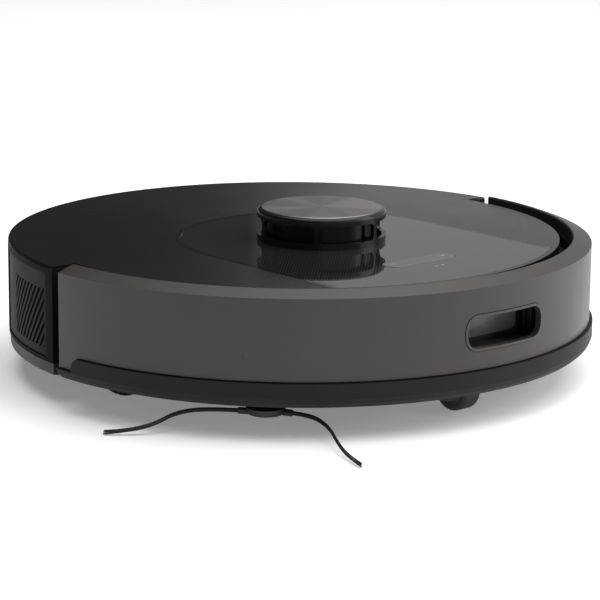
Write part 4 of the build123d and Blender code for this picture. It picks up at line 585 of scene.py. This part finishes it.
def crimp_ferrule(line, name):
    """The collar that grips one bundle at the hub: a short cylinder with bevelled ends."""
    start = HUB + Vector(line[0]) * MM
    ahead = HUB + Vector(line[1]) * MM
    along = (ahead - start).normalized()
    bpy.ops.mesh.primitive_cylinder_add(vertices=20, radius=FERRULE_R, depth=FERRULE_LENGTH,
                                        location=start + along * FERRULE_AHEAD)
    collar = bpy.context.active_object
    collar.rotation_euler = along.to_track_quat("Z", "Y").to_euler()
    bevel = collar.modifiers.new("edge", "BEVEL")
    bevel.width = FERRULE_BEVEL
    bevel.segments = 2
    bpy.ops.object.modifier_apply(modifier=bevel.name)
    bpy.ops.object.shade_smooth_by_angle(angle=math.radians(40))
    return settle(collar, name)


deselect()
bundles = [bristle_arm("bristles_" + arm_name, line) for arm_name, line in ARM_LINES.items()]
bristles = join(bundles, "side_brush_bristles")
dress(bristles, "bristle_black")
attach(bristles, "side_brush")
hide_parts("side_brush_arms")
ferrules = [crimp_ferrule(line, "collar_" + arm_name) for arm_name, line in ARM_LINES.items()]
collars = join(ferrules, "side_brush_collars")
dress(collars, "wheel_plastic")
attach(collars, "side_brush")
print("bristle faces", len(bristles.data.polygons), "collar faces", len(collars.data.polygons))

# %% [markdown]
# ## Coil springs
# A spring is a round wire along a helix. A small circle of wire is set off from the axis and swept
# by a Screw modifier, which is how a winding machine makes it. One spring is modelled and copied.

# %% Bumper springs and wheel springs
STEPS_PER_TURN = 24
BUMPER_TURNS = 6
TORSION_TURNS = 4


def coil(mean_r, wire_r, length, turns, name):
    """A helix of round wire along +Z from the origin, with both ends closed."""
    deselect()
    bpy.ops.mesh.primitive_circle_add(vertices=8, radius=wire_r, fill_type="NGON",
                                      location=(mean_r, 0, 0), rotation=(math.radians(90), 0, 0))
    wire = bpy.context.active_object
    bpy.ops.object.transform_apply(location=True, rotation=True, scale=True)
    screw = wire.modifiers.new("wind", "SCREW")
    screw.angle = 2 * math.pi
    screw.screw_offset = length / turns
    screw.iterations = turns
    screw.steps = STEPS_PER_TURN
    screw.render_steps = STEPS_PER_TURN
    bpy.ops.object.modifier_apply(modifier=screw.name)
    bpy.ops.object.mode_set(mode="EDIT")
    bpy.ops.mesh.select_all(action="SELECT")
    bpy.ops.mesh.remove_doubles(threshold=0.00001)
    bpy.ops.mesh.fill_holes(sides=0)
    bpy.ops.mesh.normals_make_consistent(inside=False)
    bpy.ops.object.mode_set(mode="OBJECT")
    bpy.ops.object.shade_smooth()
    wire.name = name
    return wire


def copied(obj, name):
    twin = obj.copy()
    twin.data = obj.data.copy()
    bpy.context.collection.objects.link(twin)
    twin.name = name
    return twin


spring_low, spring_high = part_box("bumper_springs")
spring_wire = 0.55 * MM
spring_len = spring_high[1] - spring_low[1] - 2 * spring_wire
spring_r = (spring_high[2] - spring_low[2]) / 2 - spring_wire
spring_mid_z = (spring_high[2] + spring_low[2]) / 2
spring_x = spring_high[0] - spring_r - spring_wire
bumper_a = coil(spring_r, spring_wire, spring_len, BUMPER_TURNS, "bumper_spring_a")
bumper_a.rotation_euler = (math.radians(-90), 0, 0)
bumper_b = copied(bumper_a, "bumper_spring_b")
bumper_a.location = (spring_x, spring_low[1] + spring_wire, spring_mid_z)
bumper_b.location = (-spring_x, spring_low[1] + spring_wire, spring_mid_z)
bumper_coils = join([bumper_a, bumper_b], "bumper_coils")
dress(bumper_coils, "steel")
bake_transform(bumper_coils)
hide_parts("bumper_springs")
print("bumper coil length mm", round(spring_len / MM, 1))

torsion_low, torsion_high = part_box("wheel_springs")
torsion_wire = 0.75 * MM
torsion_mid = centre("wheel_springs")
torsion_r = (torsion_high[2] - torsion_low[2]) / 2 - torsion_wire
torsion_len = TORSION_TURNS * 2 * torsion_wire
coil_left = coil(torsion_r, torsion_wire, torsion_len, TORSION_TURNS, "torsion_a")
coil_left.rotation_euler = (0, math.radians(90), 0)
coil_right = copied(coil_left, "torsion_b")
coil_left_x = torsion_high[0] - torsion_wire - torsion_len
coil_right_x = torsion_low[0] + torsion_wire
coil_left.location = (coil_left_x, torsion_mid.y, torsion_mid.z)
coil_right.location = (coil_right_x, torsion_mid.y, torsion_mid.z)
torsion_coils = join([coil_left, coil_right], "torsion_coils")
dress(torsion_coils, "steel")
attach(torsion_coils, "body")
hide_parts("wheel_springs")
print("torsion coil faces", len(torsion_coils.data.polygons))

# %% [markdown]
# ## Marks on the button
# The button carries two printed marks, a power ring and a home roof. Both are generic. They are
# thin inlays a few hundredths of a millimetre proud, so they catch light like printed ink.

# %% Button marks
pill_low, pill_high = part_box("button_pill")
MARK_T = 0.04 * MM
MARK_R = 1.7 * MM
MARK_IN = 7 * MM        # from the end of the button to the middle of a mark
STROKE = 0.28           # line width as a share of the mark's radius
BAR_T = MARK_T * 1.2    # a bar stands a little proud of the piece it crosses


def bevel_now(obj, width):
    bevel = obj.modifiers.new("edge", "BEVEL")
    bevel.width = width
    bpy.ops.object.modifier_apply(modifier=bevel.name)


def ring_mark(x, y, z, radius, name):
    """A ring with a short bar across its top, as on most power buttons."""
    deselect()
    bpy.ops.mesh.primitive_cylinder_add(vertices=40, radius=radius, depth=MARK_T, location=(x, y, z))
    ring = bpy.context.active_object
    bpy.ops.object.mode_set(mode="EDIT")
    bpy.ops.mesh.select_mode(type="FACE")
    bpy.ops.mesh.select_all(action="DESELECT")
    bpy.ops.object.mode_set(mode="OBJECT")
    for face in ring.data.polygons:
        face.select = abs(face.normal.z) > 0.9
    bpy.ops.object.mode_set(mode="EDIT")
    bpy.ops.mesh.inset(thickness=radius * STROKE)
    bpy.ops.mesh.bridge_edge_loops()
    bpy.ops.object.mode_set(mode="OBJECT")
    bpy.ops.mesh.primitive_cube_add(size=1, location=(x, y + radius * 0.75, z))
    bar = bpy.context.active_object
    bar.scale = (radius * STROKE, radius * 1.1, BAR_T)
    bevel_now(bar, radius * 0.05)
    return join([ring, bar], name)


def roof_mark(x, y, z, radius, name):
    """A small house: a three-sided roof over a square."""
    deselect()
    bpy.ops.mesh.primitive_cylinder_add(vertices=3, radius=radius, depth=MARK_T,
                                        location=(x, y + radius * 0.45, z))
    roof = bpy.context.active_object
    bevel_now(roof, radius * 0.04)
    bpy.ops.mesh.primitive_cube_add(size=1, location=(x, y - radius * 0.35, z))
    house = bpy.context.active_object
    house.scale = (radius * 0.95, radius * 0.8, BAR_T)
    bevel_now(house, radius * 0.04)
    return join([roof, house], name)


mark_z = pill_high[2] + MARK_T / 2
pill_y = centre("button_pill").y
mark_x = (pill_high[0] - pill_low[0]) / 2 - MARK_IN
power_mark = ring_mark(-mark_x, pill_y, mark_z, MARK_R, "power_mark")
home_mark = roof_mark(mark_x, pill_y, mark_z, MARK_R, "home_mark")
for mark in (power_mark, home_mark):
    dress(mark, "led_white")
    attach(mark, "button")
print("marks at x mm", round(mark_x / MM, 1))

# %% [markdown]
# ## Tufts on the main brush
# Between its rubber fins the roll carries rows of short nylon tufts in the same chevron. One tuft
# is a tapered cone of a few faces; copies of it are set along the helix and joined.

# %% Main brush tufts
fin_low, fin_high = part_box("brush_fins")
roll_mid = centre("brush_fins")
fin_r = (fin_high[2] - fin_low[2]) / 2
fin_half = (fin_high[0] - fin_low[0]) / 2
CORE_R = 9 * MM
FIN_COUNT = 6
FIN_TWIST = math.radians(60)
TUFTS_PER_SIDE = 11
ROW_SHARE = 0.97        # share of the fins' length that carries tufts
TUFT_LENGTH = fin_r - CORE_R - 1 * MM
TUFT_ROOT_R = 0.7 * MM
TUFT_TIP_R = 1.3 * MM


def one_tuft():
    """A tuft that stands on the core: narrow at its root and wider at its tip."""
    deselect()
    bpy.ops.mesh.primitive_cone_add(vertices=6, radius1=TUFT_ROOT_R, radius2=TUFT_TIP_R,
                                    depth=TUFT_LENGTH)
    tuft = bpy.context.active_object
    bpy.ops.object.mode_set(mode="EDIT")
    bpy.ops.mesh.select_all(action="SELECT")
    bpy.ops.transform.translate(value=(0, 0, TUFT_LENGTH / 2 + CORE_R))
    bpy.ops.object.mode_set(mode="OBJECT")
    return tuft


pattern = one_tuft()
tufts = []
for row in range(0, FIN_COUNT, 2):
    for side in (-1, 1):
        for k in range(TUFTS_PER_SIDE):
            along = (k + 0.5) / TUFTS_PER_SIDE
            turn = 2 * math.pi / FIN_COUNT * (row + 0.5) + FIN_TWIST * along
            tuft = copied(pattern, "tuft")
            tuft.rotation_euler = (turn - math.pi / 2, 0, 0)
            tuft.location = (side * fin_half * along * ROW_SHARE, roll_mid.y, roll_mid.z)
            tufts.append(tuft)
bpy.data.objects.remove(pattern)
tuft_rows = join(tufts, "main_brush_tufts")
dress(tuft_rows, "bristle_black")
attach(tuft_rows, "main_brush")
print("tufts", len(tufts))

# %% [markdown]
# ## Floor, light and camera
# A pale floor fills the whole view, because the camera looks down a little. A wide soft box hangs
# overhead, and a pale surround fills in. The gloss plate mirrors the far surround, so the
# surround is darker on one side, like a black card in a studio.

# %% Floor
deselect()
bpy.ops.mesh.primitive_plane_add(size=14, location=(0, 0, 0))
floor = bpy.context.active_object
floor.name = "studio_floor"
floor_finish = bpy.data.materials.new("floor_paper")
floor_finish.use_nodes = True
floor_shader = floor_finish.node_tree.nodes["Principled BSDF"]
floor_shader.inputs["Base Color"].default_value = (0.93, 0.93, 0.93, 1)
floor_shader.inputs["Roughness"].default_value = 0.9
floor_shader.inputs["Emission Color"].default_value = (1, 1, 1, 1)
floor_shader.inputs["Emission Strength"].default_value = 0.22
floor.data.materials.append(floor_finish)

# %% Soft light
ACROSS_X = 0.75         # the direction across the view, to its right
ACROSS_Y = 0.661
EDGE_HALF = 0.02
DARK_SIDE = 0.04
PALE_SIDE = 0.50
world = bpy.data.worlds.new("studio_air")
bpy.context.scene.world = world
world.use_nodes = True
sky = world.node_tree
backdrop = sky.nodes["Background"]
backdrop.inputs["Strength"].default_value = 1.0
sky_coord = sky.nodes.new("ShaderNodeTexCoord")
sky_split = sky.nodes.new("ShaderNodeSeparateXYZ")
sky.links.new(sky_coord.outputs["Generated"], sky_split.inputs[0])
# The far right of the surround is pale and the far left is dark, with a soft edge between.
across_x = math_node(sky, "MULTIPLY", sky_split.outputs["X"], ACROSS_X)
across_y = math_node(sky, "MULTIPLY", sky_split.outputs["Y"], ACROSS_Y)
across = math_node(sky, "SUBTRACT", across_x, across_y)
side_ramp = sky.nodes.new("ShaderNodeMapRange")
side_ramp.inputs["From Min"].default_value = -EDGE_HALF
side_ramp.inputs["From Max"].default_value = EDGE_HALF
side_ramp.inputs["To Min"].default_value = DARK_SIDE
side_ramp.inputs["To Max"].default_value = PALE_SIDE
sky.links.new(across, side_ramp.inputs["Value"])
sky_colour = sky.nodes.new("ShaderNodeCombineColor")
for channel in ("Red", "Green", "Blue"):
    sky.links.new(side_ramp.outputs["Result"], sky_colour.inputs[channel])
sky.links.new(sky_colour.outputs["Color"], backdrop.inputs["Color"])


def soft_box(name, place, aim, size, power):
    lamp = bpy.data.lights.new(name, "AREA")
    lamp.shape = "RECTANGLE"
    lamp.size, lamp.size_y = size
    lamp.energy = power
    holder = bpy.data.objects.new(name, lamp)
    bpy.context.collection.objects.link(holder)
    holder.location = place
    holder.rotation_euler = (Vector(aim) - Vector(place)).to_track_quat("-Z", "Y").to_euler()
    return holder


soft_box("overhead_box", (0.3, -0.2, 2.6), (0, 0, 0), (3.6, 3.6), 95)
soft_box("right_box", (1.5, -1.3, 0.9), (0, 0, 0.05), (1.2, 1.0), 14)

# %% Camera
camera_data = bpy.data.cameras.new("camera")
camera = bpy.data.objects.new("camera", camera_data)
bpy.context.collection.objects.link(camera)
CAMERA_PLACE = Vector((-0.9435, -1.0702, 0.3662))
PITCH = math.radians(12.94)
HEADING = math.radians(-41.4)
ROLL = math.radians(0.52)
level = math.cos(PITCH)
ahead = Vector((-math.sin(HEADING) * level, math.cos(HEADING) * level, -math.sin(PITCH)))
camera_turn = ahead.to_track_quat("-Z", "Y").to_matrix().to_4x4() @ Matrix.Rotation(ROLL, 4, "Z")
camera_turn.translation = CAMERA_PLACE
camera.matrix_world = camera_turn
camera_data.lens = 146.0
camera_data.sensor_width = 36.0
camera_data.shift_x = 0.0055
camera_data.clip_start = 0.05
bpy.context.scene.camera = camera
bpy.context.scene.view_settings.view_transform = "Standard"
